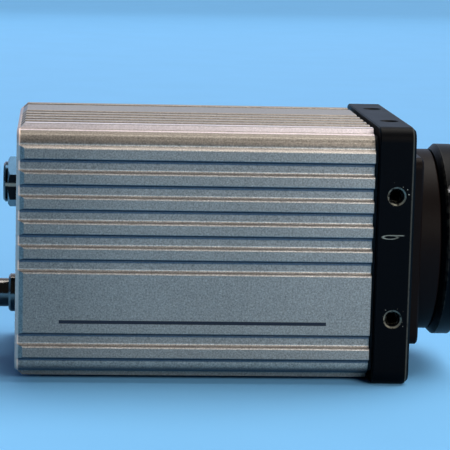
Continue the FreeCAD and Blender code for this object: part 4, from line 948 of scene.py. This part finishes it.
class VISION_OT_contacts(bpy.types.Operator):
    """Rows of contacts on the tongue of the data socket"""

    bl_idname = "vision.contacts"
    bl_label = "Set data contacts"

    def execute(self, context):
        count = context.scene.vision_threads.contacts
        low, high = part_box("data_socket_tongue")
        inset, margin, thick = 0.3 * MM, 0.6 * MM, 0.16 * MM
        pitch = (high.y - low.y - 2 * margin) / count
        length = 0.82 * (high.x - low.x)
        place = (low.x + length / 2 + inset, low.y + margin + pitch / 2, high.z + thick / 2)
        start_piece()
        bpy.ops.mesh.primitive_cube_add(size=1, location=place)
        piece = bpy.context.object
        piece.scale = (length, 0.45 * pitch, thick)
        bpy.ops.object.transform_apply(location=True, rotation=True, scale=True)
        bevel = piece.modifiers.new("edge", "BEVEL")
        bevel.width = 0.06 * MM
        bevel.segments = 2
        bpy.ops.object.modifier_apply(modifier=bevel.name)
        row = piece.modifiers.new("row", "ARRAY")
        row.count = count
        row.use_relative_offset = False
        row.use_constant_offset = True
        row.constant_offset_displace = (0, pitch, 0)
        bpy.ops.object.modifier_apply(modifier=row.name)
        middle = (low + high) / 2
        other = copy_piece(piece, (0, 2 * middle.y, 2 * middle.z), (math.pi, 0, 0))
        piece = join_pieces([piece, other])
        gold = NODES["sync_jack_contact"].material_slots[0].material
        finish_piece(piece, "data_contacts", "camera", gold)
        return {"FINISHED"}


# --- operators: studio --------------------------------------------------------------------------


class VISION_OT_studio(bpy.types.Operator):
    """Floor, soft lights and the view"""

    bl_idname = "vision.studio"
    bl_label = "Build studio"

    def execute(self, context):
        scene = context.scene
        look = scene.vision_studio
        start_piece()
        level = CAD_BOX[0][2] - FLOOR_GAP
        bpy.ops.mesh.primitive_plane_add(size=FLOOR_SIZE, location=(0, 0, level))
        floor = context.object
        floor.name = "floor"
        finish = Finish("floor_paper")
        fibre = finish.noise(40 * MM, 2.0)
        color = finish.tint(tuple(look.floor), 0.97 + 0.06 * fibre)
        floor.data.materials.append(finish.surface(Base_Color=color, Roughness=0.75))

        room = Finish("studio_room", "worlds", "Generated")
        paper = room.step(room.y, 0.15, 0.45) * (1 - room.step(room.z, 0.55, 0.3))
        scene.world = room.sky(room.mix(paper, tuple(look.room), tuple(look.sky)), 1.0)

        self.add_light("light_above", TOP_LIGHT, look.sun_power)
        self.add_light("light_behind", BACK_LIGHT, look.back_power)
        self.add_light("light_front", FRONT_LIGHT, look.fill_power)

        turn = [math.radians(angle) for angle in VIEW_TURN]
        bpy.ops.object.camera_add(location=VIEW_PLACE, rotation=turn)
        camera = context.object
        camera.name = "view"
        camera.data.lens = look.focal
        camera.data.sensor_width = 36
        camera.data.clip_start = 0.01
        camera.data.clip_end = 50
        scene.camera = camera
        scene.view_settings.view_transform = "Standard"
        return {"FINISHED"}

    @staticmethod
    def add_light(name, setup, power):
        """A soft light that looks at a point: a square one, or an even one with a spread."""
        kind = "SUN" if "spread" in setup else "AREA"
        bpy.ops.object.light_add(type=kind, location=setup["place"])
        light = bpy.context.object
        light.name = name
        light.data.energy = power
        light.data.color = setup["color"]
        if kind == "SUN":
            light.data.angle = math.radians(setup["spread"])
        else:
            light.data.shape = "SQUARE"
            light.data.size = setup["side"]
        direction = Vector(setup["aim"]) - Vector(setup["place"])
        light.rotation_euler = direction.to_track_quat("-Z", "Y").to_euler()


STEPS = (
    VISION_OT_housing,
    VISION_OT_plate,
    VISION_OT_lens_end,
    VISION_OT_back,
    VISION_OT_screws,
    VISION_OT_glass,
    VISION_OT_sockets,
    VISION_OT_electronics,
    VISION_OT_lens_thread,
    VISION_OT_side_threads,
    VISION_OT_contacts,
    VISION_OT_studio,
)

GROUPS = {
    "vision_housing": VISION_PG_housing,
    "vision_black": VISION_PG_black,
    "vision_threads": VISION_PG_threads,
    "vision_studio": VISION_PG_studio,
}


class VISION_PT_camera(bpy.types.Panel):
    """Steps and settings of the camera"""

    bl_idname = "VISION_PT_camera"
    bl_label = "Machine Vision Camera"
    bl_space_type = "VIEW_3D"
    bl_region_type = "UI"
    bl_category = "Camera"

    def draw(self, context):
        for group in GROUPS:
            settings = getattr(context.scene, group)
            box = self.layout.box()
            for name in settings.__annotations__:
                box.prop(settings, name)
        for step in STEPS:
            self.layout.operator(step.bl_idname)


def register():
    for group, kind in GROUPS.items():
        bpy.utils.register_class(kind)
        setattr(bpy.types.Scene, group, PointerProperty(type=kind))
    for kind in (*STEPS, VISION_PT_camera):
        bpy.utils.register_class(kind)


def unregister():
    for kind in (VISION_PT_camera, *reversed(STEPS)):
        bpy.utils.unregister_class(kind)
    for group, kind in GROUPS.items():
        delattr(bpy.types.Scene, group)
        bpy.utils.unregister_class(kind)


def main():
    register()
    for step in STEPS:
        group, name = step.bl_idname.split(".")
        getattr(getattr(bpy.ops, group), name)()


if __name__ == "__main__":
    main()
